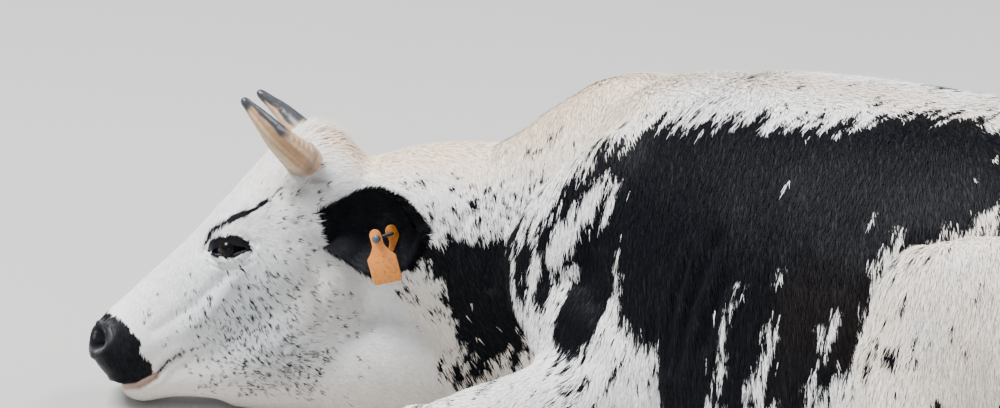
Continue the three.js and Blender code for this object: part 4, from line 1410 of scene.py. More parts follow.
def coat_tree(material):
    """Geometry nodes that plant one tuft at each random place and turn it along the hair's lie."""
    tree = bpy.data.node_groups.new("coat_tufts", "GeometryNodeTree")
    face = tree.interface
    face.new_socket("Skin", in_out="INPUT", socket_type="NodeSocketGeometry")
    face.new_socket("Tuft", in_out="INPUT", socket_type="NodeSocketObject")
    for name in ("Density", "Length", "Width", "Lift"):
        face.new_socket(name, in_out="INPUT", socket_type="NodeSocketFloat")
    face.new_socket("Seed", in_out="INPUT", socket_type="NodeSocketInt")
    face.new_socket("Coat", in_out="OUTPUT", socket_type="NodeSocketGeometry")
    w = Wiring(tree)
    given = w.add("NodeGroupInput").outputs

    def named(name, kind):
        node = w.add("GeometryNodeInputNamedAttribute", {"data_type": kind})
        node.inputs["Name"].default_value = name
        return node.outputs[0]

    def maths(operation, a, b):
        return w.compute("ShaderNodeMath", operation, a, b).outputs[0]

    def vectors(operation, *values):
        return w.compute("ShaderNodeVectorMath", operation, *values)

    def random_value(low, high, seed_step):
        node = w.add("FunctionNodeRandomValue", {"data_type": "FLOAT"})
        low_high = [s for s in node.inputs if s.name in ("Min", "Max") and s.enabled]
        low_high[0].default_value = low
        low_high[1].default_value = high
        seed = w.add("FunctionNodeIntegerMath", {"operation": "ADD"})
        tree.links.new(given["Seed"], seed.inputs[0])
        seed.inputs[1].default_value = seed_step
        tree.links.new(seed.outputs[0], next(s for s in node.inputs if s.name == "Seed"))
        return next(s for s in node.outputs if s.enabled)

    density = maths("MULTIPLY", given["Density"], named("grow", "FLOAT"))
    spread = w.add("GeometryNodeDistributePointsOnFaces")
    tree.links.new(given["Skin"], spread.inputs["Mesh"])
    tree.links.new(density, next(s for s in spread.inputs if s.name == "Density" and s.enabled))
    tree.links.new(given["Seed"], spread.inputs["Seed"])
    points = spread.outputs["Points"]
    place = w.add("GeometryNodeInputPosition").outputs[0]
    for name, value in (("root", place), ("outward", spread.outputs["Normal"])):
        keep = w.add("GeometryNodeStoreNamedAttribute", {"data_type": "FLOAT_VECTOR", "domain": "POINT"})
        keep.inputs["Name"].default_value = name
        tree.links.new(points, keep.inputs["Geometry"])
        tree.links.new(value, next(s for s in keep.inputs if s.name == "Value" and s.enabled))
        points = keep.outputs[0]
    outward = named("outward", "FLOAT_VECTOR")
    sideways = vectors("CROSS_PRODUCT", outward, named("lie", "FLOAT_VECTOR")).outputs[0]
    stray = vectors("SCALE", sideways)
    tree.links.new(random_value(-0.32, 0.32, 5), stray.inputs["Scale"])
    rise = vectors("SCALE", outward)
    raised = maths("MULTIPLY", given["Lift"], named("rise", "FLOAT"))
    tree.links.new(maths("MULTIPLY", raised, random_value(0.4, 1.6, 6)), rise.inputs["Scale"])
    way = vectors("ADD", named("lie", "FLOAT_VECTOR"), stray.outputs[0]).outputs[0]
    way = vectors("ADD", way, rise.outputs[0]).outputs[0]
    turn = w.add("FunctionNodeAlignRotationToVector", {"axis": "Z"})
    tree.links.new(way, turn.inputs["Vector"])
    roll = w.add("FunctionNodeAlignRotationToVector", {"axis": "X", "pivot_axis": "Z"})
    tree.links.new(turn.outputs[0], roll.inputs["Rotation"])
    tree.links.new(outward, roll.inputs["Vector"])
    long = maths("MULTIPLY", given["Length"], named("long", "FLOAT"))
    long = maths("MULTIPLY", long, random_value(0.65, 1.25, 7))
    wide = maths("MULTIPLY", given["Width"], named("fine", "FLOAT"))
    wide = maths("MULTIPLY", wide, random_value(0.7, 1.3, 8))
    size = w.add("ShaderNodeCombineXYZ")
    tree.links.new(maths("MULTIPLY", wide, 0.45), size.inputs["X"])
    tree.links.new(wide, size.inputs["Y"])
    tree.links.new(long, size.inputs["Z"])
    source = w.add("GeometryNodeObjectInfo")
    tree.links.new(given["Tuft"], source.inputs["Object"])
    planted = w.add("GeometryNodeInstanceOnPoints")
    tree.links.new(points, planted.inputs["Points"])
    tree.links.new(source.outputs["Geometry"], planted.inputs["Instance"])
    tree.links.new(roll.outputs[0], planted.inputs["Rotation"])
    tree.links.new(size.outputs[0], planted.inputs["Scale"])
    real = w.add("GeometryNodeRealizeInstances")
    tree.links.new(planted.outputs[0], real.inputs[0])
    painted = w.add("GeometryNodeSetMaterial")
    painted.inputs["Material"].default_value = material
    tree.links.new(real.outputs[0], painted.inputs["Geometry"])
    out = w.add("NodeGroupOutput")
    tree.links.new(painted.outputs[0], out.inputs[0])
    return tree


def run_tree(tree, host_mesh, inputs):
    """The plain mesh that a geometry node tree makes from a mesh."""
    host = stand_in("coat_host", host_mesh)
    modifier = host.modifiers.new("Tufts", "NODES")
    modifier.node_group = tree
    for item in tree.interface.items_tree:
        if item.in_out == "INPUT" and item.name in inputs:
            modifier[item.identifier] = inputs[item.name]
    graph = bpy.context.evaluated_depsgraph_get()
    mesh = bpy.data.meshes.new_from_object(host.evaluated_get(graph))
    host.modifiers.clear()
    bpy.data.objects.remove(host)
    return mesh


def dress_tufts(mesh, corners, colours, uv_at, paint=coat_colour):
    """Colours every tuft by its root, turns its shading towards the skin's, and gives it its patch."""
    count = len(mesh.vertices) // corners
    roots = np.empty(len(mesh.vertices) * 3, np.float32)
    mesh.attributes["root"].data.foreach_get("vector", roots)
    roots = roots.reshape(-1, 3)[::corners].astype(float) / MM
    outward = np.empty(len(mesh.vertices) * 3, np.float32)
    mesh.attributes["outward"].data.foreach_get("vector", outward)
    outward = unit(outward.reshape(-1, 3).astype(float))
    scatter = 0.5 + 0.5 * hash_grid(np.round(roots * 10), 5)
    colour = np.repeat(paint(roots, colours, scatter), corners, axis=0)
    tint(mesh, colour)
    mesh.shade_smooth()
    blended = unit(0.86 * outward + 0.14 * read_normals(mesh))
    mesh.normals_split_custom_set_from_vertices(blended.tolist())
    layer = mesh.uv_layers.new(name="OFBake")
    loops = np.empty(len(mesh.loops), np.int64)
    mesh.loops.foreach_get("vertex_index", loops)
    spots = np.array([(0, 0), (0.0022, 0), (0.0011, 0.0012), (0, 0.0011), (0.0022, 0.0011),
                      (0.0011, 0.0018), (0.0011, 0.0028)])
    if corners == 4:
        spots = np.array([(0, 0), (0.0024, 0), (0.0012, 0.0012), (0.0012, 0.0028)])
    patch = np.repeat(uv_at(roots), corners, axis=0) + np.tile(spots, (count, 1))
    layer.data.foreach_set("uv", patch[loops].astype(np.float32).ravel())
    for name in ("root", "outward"):
        mesh.attributes.remove(mesh.attributes[name])


def box_unwrap(normals_of):
    """Each place on the skin on a sheet of its own: six views of the body, laid side by side."""
    def at(points):
        normals = normals_of(points)
        strongest = np.argmax(np.abs(normals), axis=1)
        facing = strongest * 2 + (normals[np.arange(len(points)), strongest] > 0)
        share = (points - np.array([-900, -700, 0])) / np.array([2300, 1200, 800])
        flat = np.where((strongest == 0)[:, None], share[:, [1, 2]],
                        np.where((strongest == 1)[:, None], share[:, [0, 2]], share[:, [0, 1]]))
        cell = np.stack([facing % 3, facing // 3], axis=1)
        return (cell + 0.02 + 0.94 * np.clip(flat, 0, 1)) / np.array([3.0, 2.0])
    return at


# Stretches of the coat along the body, each cut into a left and a right piece
COAT_STRETCHES = {
    "neck": (-2000, -150),
    "chest": (-150, 200),
    "flank": (200, 620),
    "haunch": (620, 900),
    "rump": (900, 2000),
}


def coat_parts(points):
    """The skin's corners that each piece of the coat grows from."""
    x, angle = girth(points)
    on_head = head_share(points) > 0.5
    cheek = to_head(points)[:, 1] > 0
    parts = {"coat_head_left": on_head & cheek, "coat_head_right": on_head & ~cheek}
    for name, (low, high) in COAT_STRETCHES.items():
        here = ~on_head & (x >= low) & (x < high)
        parts[f"coat_{name}_left"] = here & (angle >= 0)
        parts[f"coat_{name}_right"] = here & (angle < 0)
    return parts


def coat_growth(points, normals):
    """How densely, how long and how wide the tufts grow, as shares of the flank's."""
    place = to_head(points)
    face = head_share(points)
    x, angle = girth(points)
    grow = np.where(normals[:, 2] < -0.80, 0.0, 1.0) * smooth_step(points[:, 2], 4, 10)
    grow *= 1 - bare_skin(points) * 0.995
    right = (normals[:, 1] > 0.2) & (face < 0.5)
    grow *= np.where(right, 0.75, 1.0)
    nose = smooth_step(place[:, 0], 300, 420) * face
    grow *= 1 + 1.0 * face
    back = (1 - smooth_step(np.abs(angle), 12, 34)) * (1 - face)
    withers = back * hump(x - 90, 190)
    poll = np.exp(-(np.linalg.norm(place - np.array([15, 0, -10]), axis=1) / 55) ** 2)
    long = 1 + 0.10 * back + 0.25 * withers + 1.6 * poll - 0.42 * face - 0.18 * nose
    fine = 1 - 0.42 * face - 0.12 * nose + 0.10 * back
    leg = (points[:, 2] < 110) * (np.abs(points[:, 1]) > 240) * (1 - face)
    long -= 0.3 * leg + 0.25 * smooth_step(-x, 150, 230) * (1 - face)
    rise = 1 + 0.35 * withers + 0.15 * back + 2.2 * poll - 0.2 * face
    return {
        "grow": grow,
        "long": np.clip(long, 0.3, 2.6),
        "fine": np.clip(fine, 0.4, 1.3),
        "rise": rise,
    }


class COW_OT_skin(bpy.types.Operator):
    """Fuse the flesh into one skin with lids, nostrils, lips and folds"""
    bl_idname = "cow.skin"
    bl_label = "Skin"

    def execute(self, context):
        scene = context.scene
        mesh = build_skin(scene.cow_body)
        points = read_points(mesh)
        colour = skin_colour(points, scene.cow_coat)
        tint(mesh, colour)
        store(mesh, "bare", "FLOAT", bare_skin(points))
        material = material_named("skin_hide", hide_material)
        piece = show("cow_skin", mesh, material, "white_coat", *SKIN_NODES)
        if len(piece.data.vertices) < 20000:
            raise RuntimeError("the skin came out too coarse")
        return {"FINISHED"}


class COW_OT_coat(bpy.types.Operator):
    """Grow the short coat in tufts that lie along the body"""
    bl_idname = "cow.coat"
    bl_label = "Coat"

    def execute(self, context):
        scene = context.scene
        settings = scene.cow_coat
        skin = bpy.data.objects["cow_skin"].data
        host = skin.copy()
        points = read_points(host)
        normals = read_normals(host)
        store(host, "lie", "FLOAT_VECTOR", hair_lie(points, normals))
        growth = coat_growth(points, normals)
        for name, values in growth.items():
            store(host, name, "FLOAT", values)
        tuft = stand_in("tuft_blade", tuft_blade())
        material = material_named("coat_hair", hair_material)
        tree = coat_tree(material)
        unwrap = skin_unwrap(points, normals)
        density = settings.density * 1.0
        for step, (name, here) in enumerate(coat_parts(points).items()):
            store(host, "grow", "FLOAT", growth["grow"] * here)
            mesh = run_tree(tree, host, {
                "Tuft": tuft, "Density": density, "Length": settings.length, "Width": settings.width,
                "Lift": settings.lift, "Seed": settings.seed + step,
            })
            lift_off_floor(mesh, 0.5)
            dress_tufts(mesh, 4, settings, unwrap)
            show(name, mesh, material, "white_coat")
        bpy.data.objects.remove(tuft)
        return {"FINISHED"}


def skin_unwrap(points, normals):
    """A lookup from a place on the skin to its spot on the skin's unwrap."""
    tree = KDTree(len(points))
    for index, point in enumerate(points[::3]):
        tree.insert(point, index * 3)
    tree.balance()

    def normals_of(roots):
        nearest = [tree.find(root)[1] for root in roots]
        return normals[nearest]

    return box_unwrap(normals_of)


class COW_OT_eyes(bpy.types.Operator):
    """Make the eyeballs, set deep behind the lids"""
    bl_idname = "cow.eyes"
    bl_label = "Eyes"

    def execute(self, context):
        material = material_named("eyeball_wet", eye_material)
        for name, side in SIDES.items():
            along, left, up = EYE_PLACE
            middle = np.array([along, side * left, up])
            rings = ((-14, 13), (0, EYE_RADIUS), (14, 13))
            ball = [(along + on, side * left, up, wide, wide, wide) for on, wide in rings]
            points, faces = loft(ball, (0, side, 0), sides=48, steps=24, caps=(5.4, 5.4))
            offset = unit(points - middle) * EYE_RADIUS
            cornea = np.maximum(0, offset[:, 1] * side - 15.0)
            offset[:, 1] += side * cornea * 0.5
            mesh = mesh_from(f"{name}_eyeball", [(from_head(offset + middle), faces)])
            out = np.hypot(offset[:, 0], offset[:, 2])
            pupil = smooth_step(-np.hypot(offset[:, 0] / 1.35, offset[:, 2] / 0.75), -5.4, -4.8)
            colour = blend(EYE_WHITE, IRIS, smooth_step(-out, -12.5, -11.5))
            colour = blend(colour, PUPIL, pupil)
            tint(mesh, colour)
            show(f"{name}_eyeball", mesh, material, "eye", f"{name}_eye")
        return {"FINISHED"}


# A horn on the head's own axes: along, out to the side, up and share of the base radius
HORN_LINE = [
    (50, 62, -42, 1), (48, 98, -24, 0.96), (46, 126, 8, 0.8), (42, 140, 46, 0.56), (40, 142, 82, 0.3),
]


class COW_OT_horns(bpy.types.Operator):
    """Make the horns with growth rings, a rough collar and slate tips"""
    bl_idname = "cow.horns"
    bl_label = "Horns"

    def execute(self, context):
        settings = context.scene.cow_horns
        material = material_named("horn_sheath", horn_material)
        for name, side in SIDES.items():
            base = settings.base_radius / MM - 1.0
            longer = [0 if side > 0 else (k / 4) ** 2 for k in range(len(HORN_LINE))]
            rings = [(a + 13 * more, side * b, c + 16 * more, base * s, base * s, base * s)
                     for (a, b, c, s), more in zip(HORN_LINE, longer)]
            sides, steps = 48, 110
            points, faces = loft(rings, (1, 0, 0), sides=sides, steps=steps, caps=(6, 13), cap_rows=8)
            row = np.minimum(np.arange(len(points)) // sides, steps + 16)
            share = np.clip((row - 8) / steps, 0, 1)
            share[-2] = 0
            middle = curve_points(np.array(rings)[:, :3], share)
            outward = unit(points - middle)
            ridges = 0.55 * np.sin(share * 2 * math.pi * 17 + 0.7 * noise(points, 9, 81))
            ridges *= 1 - smooth_step(share, 0.3, 0.6)
            collar = 1.6 * hump(share - 0.20, 0.05)
            ridges += collar + 0.35 * noise(points, (5, 5, 5), 82)
            points = points + outward * (ridges - 0.3)[:, None]
            mesh = mesh_from(f"{name}_horn_sheath", [(from_head(points), faces)])
            inner = -outward[:, 0] - 0.35 * outward[:, 1] * side + 0.3 * noise(points, 14, 83)
            slate = smooth_step(share, 0.46, 0.60) * smooth_step(inner, -0.1, 0.3)
            slate = np.maximum(slate, smooth_step(share, 0.90, 0.98))
            turn = np.degrees(np.arctan2(outward[:, 1], outward[:, 0]))
            drawn = np.stack([share * 160, turn, np.zeros(len(points))], axis=1)
            pale = smooth_step(noise(drawn, (60, 9, 1), 84), -0.3, 0.8) * 0.7
            colour = blend(settings.tan, HORN_PALE, pale)
            colour = blend(colour, HORN_PINK, (1 - smooth_step(share, 0.22, 0.42)) * 0.4)
            colour = blend(colour, HORN_DULL, collar / 1.6 * 0.7)
            colour = blend(colour, settings.slate, slate)
            tint(mesh, colour)
            show(f"{name}_horn_sheath", mesh, material, "horn", f"{name}_horn")
        return {"FINISHED"}


def claw_points(knuckle, tip, aside, spread, tall):
    ahead = unit(np.array(tip, float) - np.array(knuckle, float))
    middle = (np.array(knuckle, float) + np.array(tip, float)) / 2
    shift = aside * spread[0]
    rings = [
        (*(np.array(knuckle) + shift), spread[1] - 3, tall * 0.95, tall),
        (*(middle + shift), spread[1] - 1, tall * 0.75, tall),
        (*(np.array(tip) - ahead * 14 + shift), spread[1] - 5, tall * 0.4, tall * 0.9),
    ]
    points, faces = loft(rings, sides=32, steps=30, caps=(6, 12), square=2.4)
    points[:, 2] = np.maximum(points[:, 2], 0.6)
    ring = 0.5 * np.sin(((points - np.array(knuckle)) @ ahead) / 5.5)
    points = points + unit(points - middle - shift) * ring[:, None] * (points[:, 2] > 3)[:, None]
    return points, faces


HOOVES = {
    "right_hind": ((706, -256, 34), (640, -325, 22)),
    "left_fore": ((-34, -244, 34), (54, -240, 22)),
    "right_fore": ((-34, 244, 34), (54, 240, 22)),
    "left_hind": ((664, -470, 34), (570, -478, 22)),
}


class COW_OT_hooves(bpy.types.Operator):
    """Make the cloven hooves and the dewclaws"""
    bl_idname = "cow.hooves"
    bl_label = "Hooves"

    def execute(self, context):
        material = material_named("hoof_shell", hoof_material)
        for foot, (knuckle, tip) in HOOVES.items():
            ahead = unit(np.array(tip, float) - np.array(knuckle, float))
            aside = unit(np.cross(ahead, [0, 0, 1]))
            for side, sign in (("outer", 1), ("inner", -1)):
                form = claw_points(knuckle, tip, aside, (sign * 24, 24), 34)
                mesh = mesh_from(f"{foot}_hoof_{side}", [form])
                show(f"{foot}_hoof_{side}", mesh, material, "hoof", f"{foot}_claw_{side}")
                heel = np.array(knuckle, float) - ahead * 26 + aside * sign * 17
                heel[2] += 34 * 0.55
                rings = [(*(heel + ahead * on), wide, wide + 1, wide + 1)
                         for on, wide in ((-10, 8), (0, 10), (8, 7))]
                dew = loft(rings, sides=20, steps=14, caps=(4, 6), square=2.2)
                mesh = mesh_from(f"{foot}_dew_{side}", [dew])
                show(f"{foot}_dew_{side}", mesh, material, "hoof", f"{foot}_dewclaw_{side}")
        return {"FINISHED"}


EAR_ROOT = np.array([104.0, 74.0, -126.0])
EAR_AXIS = np.array([-0.6, 0.49, -0.635])
EAR_FACING = np.array([0.45, 0.86, 0.25])
EAR_LENGTH = 190.0
EAR_LEAF = [(0, 26), (0.18, 40), (0.4, 60), (0.62, 66), (0.82, 52), (0.95, 25), (1.0, 5)]


def ear_leaf(side, rows=60, columns=40):
    """A cupped leaf with a thin rim: the inside of the cup on top, the back of the ear under it."""
    t = np.linspace(0, 1, rows)
    leaf = curve_points([(share, half) for share, half in EAR_LEAF], t)
    across = np.cross(EAR_AXIS, EAR_FACING)
    across = across / np.linalg.norm(across)
    points = []
    for share, half in leaf:
        middle = EAR_ROOT + EAR_AXIS * EAR_LENGTH * share
        half = max(half, 3.0)
        for turn in np.linspace(0, 2 * math.pi, columns, endpoint=False):
            w = math.cos(turn)
            depth = (half * 0.36 + 5) * (1 - w * w)
            wall = 3.4 * math.sqrt(max(0.0, 1 - w ** 6)) + 0.8
            ripple = 1.2 * math.sin(share * 26 + 4 * w)
            curl = 9 - 9 * max(0.0, w) * math.exp(-((share - 0.74) / 0.24) ** 2)
            lift = curl * w * w - depth + (wall if math.sin(turn) > 0 else -wall) + ripple
            points.append(middle + across * w * half + EAR_FACING * lift)
    points = np.array(points)
    faces = []
    for row in range(rows - 1):
        for column in range(columns):
            after = (column + 1) % columns
            faces.append((row * columns + column, row * columns + after,
                          (row + 1) * columns + after, (row + 1) * columns + column))
    faces.append(tuple(range(columns))[::-1])
    faces.append(tuple((rows - 1) * columns + column for column in range(columns)))
    points[:, 1] *= side
    return from_head(points), faces


# Tufts for each square metre of the ears and of the switch
EAR_TUFTS = 205000.0
SWITCH_TUFTS = 90000.0


class COW_OT_ears(bpy.types.Operator):
    """Make the black, cupped ears with hair on their rims"""
    bl_idname = "cow.ears"
    bl_label = "Ears"

    def execute(self, context):
        scene = context.scene
        colours = scene.cow_coat
        material = material_named("skin_hide", hide_material)
        hair = material_named("coat_hair", hair_material)
        tree = bpy.data.node_groups.get("coat_tufts") or coat_tree(hair)
        lock = stand_in("lock_blade", lock_blade())
        dark = np.array(colours.black)
        ear_density = EAR_TUFTS
        for name, side in SIDES.items():
            mesh = mesh_from(f"{name}_ear_skin", [ear_leaf(side)])
            points = read_points(mesh)
            shade = 1 + 0.5 * noise(points, 12, 91)[:, None]
            tint(mesh, dark * shade)
            store(mesh, "bare", "FLOAT", np.zeros(len(points)))
            show(f"{name}_ear_skin", mesh, material, "black_coat", f"{name}_ear")
            host = mesh.copy()
            normals = read_normals(host)
            place = to_head(points)
            mirror = np.array([1, side, 1])
            along = unit(EAR_AXIS * mirror)
            offset = (place - EAR_ROOT * mirror) @ along
            middle = EAR_ROOT * mirror + along * offset[:, None]
            way = (along * 0.8 + unit(place - middle) * 0.7) @ HEAD
            steep = np.sum(way * normals, axis=1)
            flat = way - normals * np.where(steep < 0, steep, 0.6 * steep)[:, None]
            store(host, "lie", "FLOAT_VECTOR", unit(flat))
            under_tag = segment_distance(place[:, [0, 2]], (38, -204), (84, -262)) < 30
            store(host, "grow", "FLOAT", np.where(offset > -12, 1.0, 0.0))
            rim = np.linalg.norm(place - middle, axis=1) / 60
            store(host, "long", "FLOAT", np.where(under_tag, 0.35, 0.7 + 0.4 * np.clip(rim, 0, 1)))
            store(host, "fine", "FLOAT", np.full(len(points), 0.8))
            store(host, "rise", "FLOAT", np.ones(len(points)))
            tufts = run_tree(tree, host, {
                "Tuft": lock, "Density": ear_density, "Length": 0.017, "Width": 0.0018, "Lift": 0.22,
                "Seed": colours.seed + 40,
            })

            def ear_paint(roots, shades, scatter):
                return np.tile(np.array(shades.black), (len(roots), 1)) * (0.7 + 0.8 * scatter[:, None])

            def ear_spot(roots):
                local = to_head(roots)
                return np.stack([(local[:, 0] + 100) / 400, (local[:, 2] + 300) / 400], axis=1)

            dress_tufts(tufts, 7, colours, ear_spot, ear_paint)
            show(f"{name}_ear_hair", tufts, hair, "black_coat")
        bpy.data.objects.remove(lock)
        return {"FINISHED"}


def tag_outline(width, height):
    """The panel's outline from the pin's eye down to its square foot, with rounded corners."""
    neck = width * 0.2
    points = [(neck * math.cos(a), 6 + neck * math.sin(a)) for a in np.linspace(0, math.pi, 9)]
    for share in np.linspace(0, 1, 7):
        points.append((-neck - (width * 0.5 - neck) * share ** 1.6, -8 - (height * 0.42 - 8) * share))
    corner = 5.0
    for sign, first in ((-1, math.pi), (1, 1.5 * math.pi)):
        middle = sign * (width * 0.5 - corner)
        for a in np.linspace(first, first + 0.5 * math.pi, 6):
            points.append((middle + corner * math.cos(a), -height + corner + corner * math.sin(a)))
    for share in np.linspace(1, 0, 7):
        points.append((neck + (width * 0.5 - neck) * share ** 1.6, -8 - (height * 0.42 - 8) * share))
    return np.array(points)


def tag_panel(width, height, at, turn, swing):
    """A soft plastic panel with rolled edges and a slight bow."""
    outline = tag_outline(width, height)
    layers = []
    for depth, inset in ((-1.1, 0.7), (-0.7, 0.1), (0.7, 0.1), (1.1, 0.7)):
        centre = np.array([0, -height * 0.5])
        inner = outline + unit(centre - outline) * inset
        layers.append(np.column_stack([inner[:, 0], inner[:, 1], np.full(len(inner), depth)]))
    points = np.vstack(layers)
    count = len(outline)
    faces = [tuple(range(count))[::-1], tuple(range(3 * count, 4 * count))]
    for layer in range(3):
        for k in range(count):
            after = (k + 1) % count
            faces.append((layer * count + k, layer * count + after,
                          (layer + 1) * count + after, (layer + 1) * count + k))
    points[:, 2] += 2.4 * (points[:, 1] / height) ** 2 + 1.2 * (points[:, 0] / width) ** 2
    turned = Matrix.Rotation(math.radians(turn), 3, "Z") @ Matrix.Rotation(math.pi / 2, 3, "X")
    turned = turned @ Matrix.Rotation(math.radians(swing), 3, "Z")
    return points @ np.array(turned).T + at, faces


# The tag's pin from its shaft to its head: place along it and radius
PIN_RINGS = ((-24, 3), (4, 3), (13, 6.5), (18, 7), (20.5, 4.5))


class COW_OT_tags(bpy.types.Operator):
    """Hang a bare orange tag in each ear, with its pin and rear panel"""
    bl_idname = "cow.tags"
    bl_label = "Ear tags"

    def execute(self, context):
        material = material_named("tag_plastic", tag_material)
        steel = material_named("tag_steel", pin_material)
        for name, side in SIDES.items():
            pin_at = from_head([[38, side * 141, -204]])[0]
            beyond = from_head([[38.45, side * 141.86, -203.75]])[0]
            through = unit(beyond - pin_at)
            turn = 40 if side > 0 else 200
            front = tag_panel(45, 72, pin_at + through * 16, turn + 3 * side, 15 if side > 0 else -8)
            back = tag_panel(45, 62, pin_at - through * 24, turn + 35, 24 if side > 0 else 6)
            mesh = mesh_from(f"{name}_tag_panel", [front])
            show(f"{name}_tag_panel", mesh, material, "ear_tag", f"{name}_tag_front")
            mesh = mesh_from(f"{name}_tag_rear", [back])
            show(f"{name}_tag_rear", mesh, material, "ear_tag", f"{name}_tag_back")
            rings = [(*(pin_at + through * d), r, r, r) for d, r in PIN_RINGS]
            mesh = mesh_from(f"{name}_tag_pin", [loft(rings, sides=24, steps=30, caps=(2, 1.5))])
            show(f"{name}_tag_pin", mesh, steel, "ear_tag")
        return {"FINISHED"}


class COW_OT_switch(bpy.types.Operator):
    """Grow the tail's switch of long hair"""
    bl_idname = "cow.switch"
    bl_label = "Tail switch"

    def execute(self, context):
        scene = context.scene
        colours = scene.cow_coat
        hair = material_named("coat_hair", hair_material)
        tree = bpy.data.node_groups.get("coat_tufts") or coat_tree(hair)
        lock = stand_in("lock_blade", lock_blade())
        rings = [(*ring[:3], *(0.8 * size for size in ring[3:])) for ring in SWITCH_LINE]
        mesh = mesh_from("switch_core", [loft(rings, sides=32, steps=60, caps=(4, 10))])
        lift_off_floor(mesh, 1.0)
        points = read_points(mesh)
        tint(mesh, np.tile(SWITCH_TONE, (len(points), 1)))
        store(mesh, "bare", "FLOAT", np.zeros(len(points)))
        material = material_named("skin_hide", hide_material)
        show("switch_core", mesh, material, "switch_hair", "tail_switch")
        host = mesh.copy()
        normals = read_normals(host)
        stray = np.stack([noise(points, 30, 95 + k) for k in range(3)], axis=1)
        way = unit(np.array([-0.75, -0.62, -0.05]) + 0.35 * stray)
        flat = way - normals * np.sum(way * normals, axis=1)[:, None] * 0.8
        store(host, "lie", "FLOAT_VECTOR", unit(flat))
        store(host, "grow", "FLOAT", np.where(points[:, 2] > 3, 1.0, 0.2))
        store(host, "long", "FLOAT", np.ones(len(points)))
        store(host, "fine", "FLOAT", np.ones(len(points)))
        store(host, "rise", "FLOAT", np.ones(len(points)))
        tufts = run_tree(tree, host, {
                "Tuft": lock, "Density": SWITCH_TUFTS, "Length": 0.060, "Width": 0.0024, "Lift": 0.05,
            "Seed": colours.seed + 50,
        })
        lift_off_floor(tufts, 0.5)

        def switch_paint(roots, shades, scatter):
            pale = np.array([0.66, 0.61, 0.53])
            return np.tile(pale, (len(roots), 1)) * (0.72 + 0.5 * scatter[:, None])

        def switch_spot(roots):
            return np.stack([(roots[:, 0] - 880) / 260, (roots[:, 1] + 680) / 260], axis=1)

        dress_tufts(tufts, 7, colours, switch_spot, switch_paint)
        show("switch_hair", tufts, hair, "switch_hair")
        bpy.data.objects.remove(lock)
        return {"FINISHED"}


class COW_OT_stage(bpy.types.Operator):
    """Lay the pale floor, hang the soft lights and place the camera"""
    bl_idname = "cow.stage"
    bl_label = "Stage"

    def execute(self, context):
        scene = context.scene
        settings = scene.cow_stage
        mesh = bpy.data.meshes.new("studio_floor")
        mesh.from_pydata([(-30, -30, 0), (30, -30, 0), (30, 30, 0), (-30, 30, 0)], [], [(0, 1, 2, 3)])
        mesh.materials.append(material_named("studio_floor", floor_material))
        stand_in("studio_floor", mesh)
        for name, place, size, power in (
            ("key_light", (-2.2, -2.4, 5.2), 2.2, 930),
            ("fill_light", (4.5, -4.5, 2.2), 4.0, 80),
            ("back_light", (0.8, 4.0, 4.8), 3.0, 420),
        ):
            lamp = bpy.data.lights.new(name, "AREA")
            lamp.size = size
            lamp.energy = power
            light = bpy.data.objects.new(name, lamp)
            light.location = place
            aim = Vector((0, 0, 0.3)) - Vector(place)
            light.rotation_euler = aim.to_track_quat("-Z", "Y").to_euler()
            scene.collection.objects.link(light)
        world = bpy.data.worlds.new("soft_sky")
        world.use_nodes = True
        world.node_tree.nodes["Background"].inputs["Color"].default_value = (0.80, 0.86, 0.95, 1)
        world.node_tree.nodes["Background"].inputs["Strength"].default_value = 0.52
        scene.world = world
        place_camera(scene, settings)
        return {"FINISHED"}


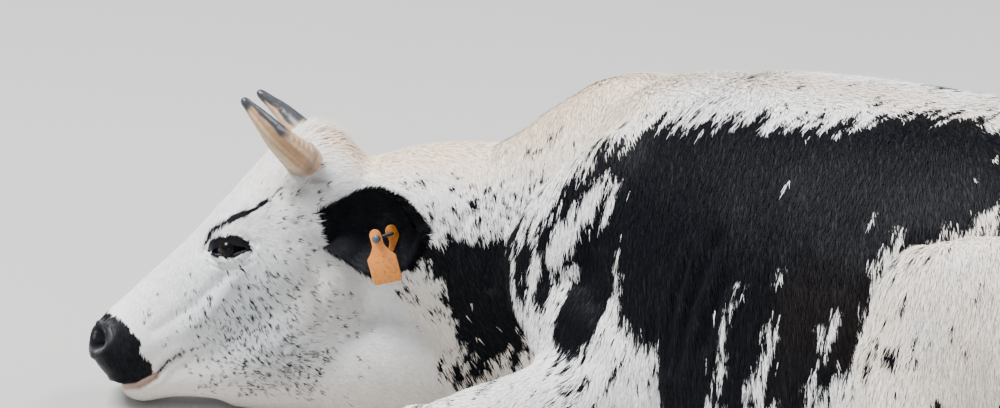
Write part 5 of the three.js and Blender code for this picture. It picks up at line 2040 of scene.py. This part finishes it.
def place_camera(scene, settings):
    """The photo's view: the withers fall where the photo has them, with no shift of the lens."""
    a, e = settings.azimuth, settings.elevation
    right = np.array([math.cos(a), math.sin(a), 0])
    ahead = np.array([-math.sin(a) * math.cos(e), math.cos(a) * math.cos(e), -math.sin(e)])
    up = np.cross(right, ahead)
    frame_width, frame_height = 1000.0, 408.0
    withers_px = (717.0, 67.0)
    scale = settings.lens / 36 * frame_width / settings.distance
    aside = (withers_px[0] - frame_width / 2) / scale
    above = (frame_height / 2 - withers_px[1]) / scale
    withers = np.array([0, 0, 0.630])
    eye = withers - right * aside - up * above - ahead * settings.distance
    data = bpy.data.cameras.new("photo_camera")
    data.lens = settings.lens
    data.sensor_width = 36
    data.clip_end = 200
    camera = bpy.data.objects.new("photo_camera", data)
    columns = np.column_stack([right, up, -ahead])
    camera.matrix_world = Matrix.Translation(Vector(eye)) @ Matrix(columns.tolist()).to_4x4()
    scene.collection.objects.link(camera)
    scene.camera = camera


class COW_PT_panel(bpy.types.Panel):
    """Lists the steps that dress the cow"""
    bl_idname = "COW_PT_panel"
    bl_label = "Lying Cow"
    bl_space_type = "VIEW_3D"
    bl_region_type = "UI"
    bl_category = "Lying Cow"

    def draw(self, context):
        scene = context.scene
        for group in (scene.cow_body, scene.cow_coat, scene.cow_horns, scene.cow_stage):
            box = self.layout.box()
            for name in group.bl_rna.properties.keys():
                if name not in ("rna_type", "name"):
                    box.prop(group, name)
        for step in STEPS:
            self.layout.operator(step.bl_idname)


GROUPS = {
    "cow_body": CowBodySettings,
    "cow_coat": CowCoatSettings,
    "cow_horns": CowHornSettings,
    "cow_stage": CowStageSettings,
}
STEPS = (
    COW_OT_stage, COW_OT_skin, COW_OT_coat, COW_OT_eyes, COW_OT_horns, COW_OT_hooves, COW_OT_ears,
    COW_OT_tags, COW_OT_switch,
)


def register():
    for name, group in GROUPS.items():
        bpy.utils.register_class(group)
        setattr(bpy.types.Scene, name, bpy.props.PointerProperty(type=group))
    for step in STEPS:
        bpy.utils.register_class(step)
    bpy.utils.register_class(COW_PT_panel)


def unregister():
    bpy.utils.unregister_class(COW_PT_panel)
    for step in reversed(STEPS):
        bpy.utils.unregister_class(step)
    for name, group in GROUPS.items():
        delattr(bpy.types.Scene, name)
        bpy.utils.unregister_class(group)


def main():
    register()
    bpy.ops.cow.stage()
    bpy.ops.cow.skin()
    bpy.ops.cow.coat()
    bpy.ops.cow.eyes()
    bpy.ops.cow.horns()
    bpy.ops.cow.hooves()
    bpy.ops.cow.ears()
    bpy.ops.cow.tags()
    bpy.ops.cow.switch()


if __name__ == "__main__":
    main()
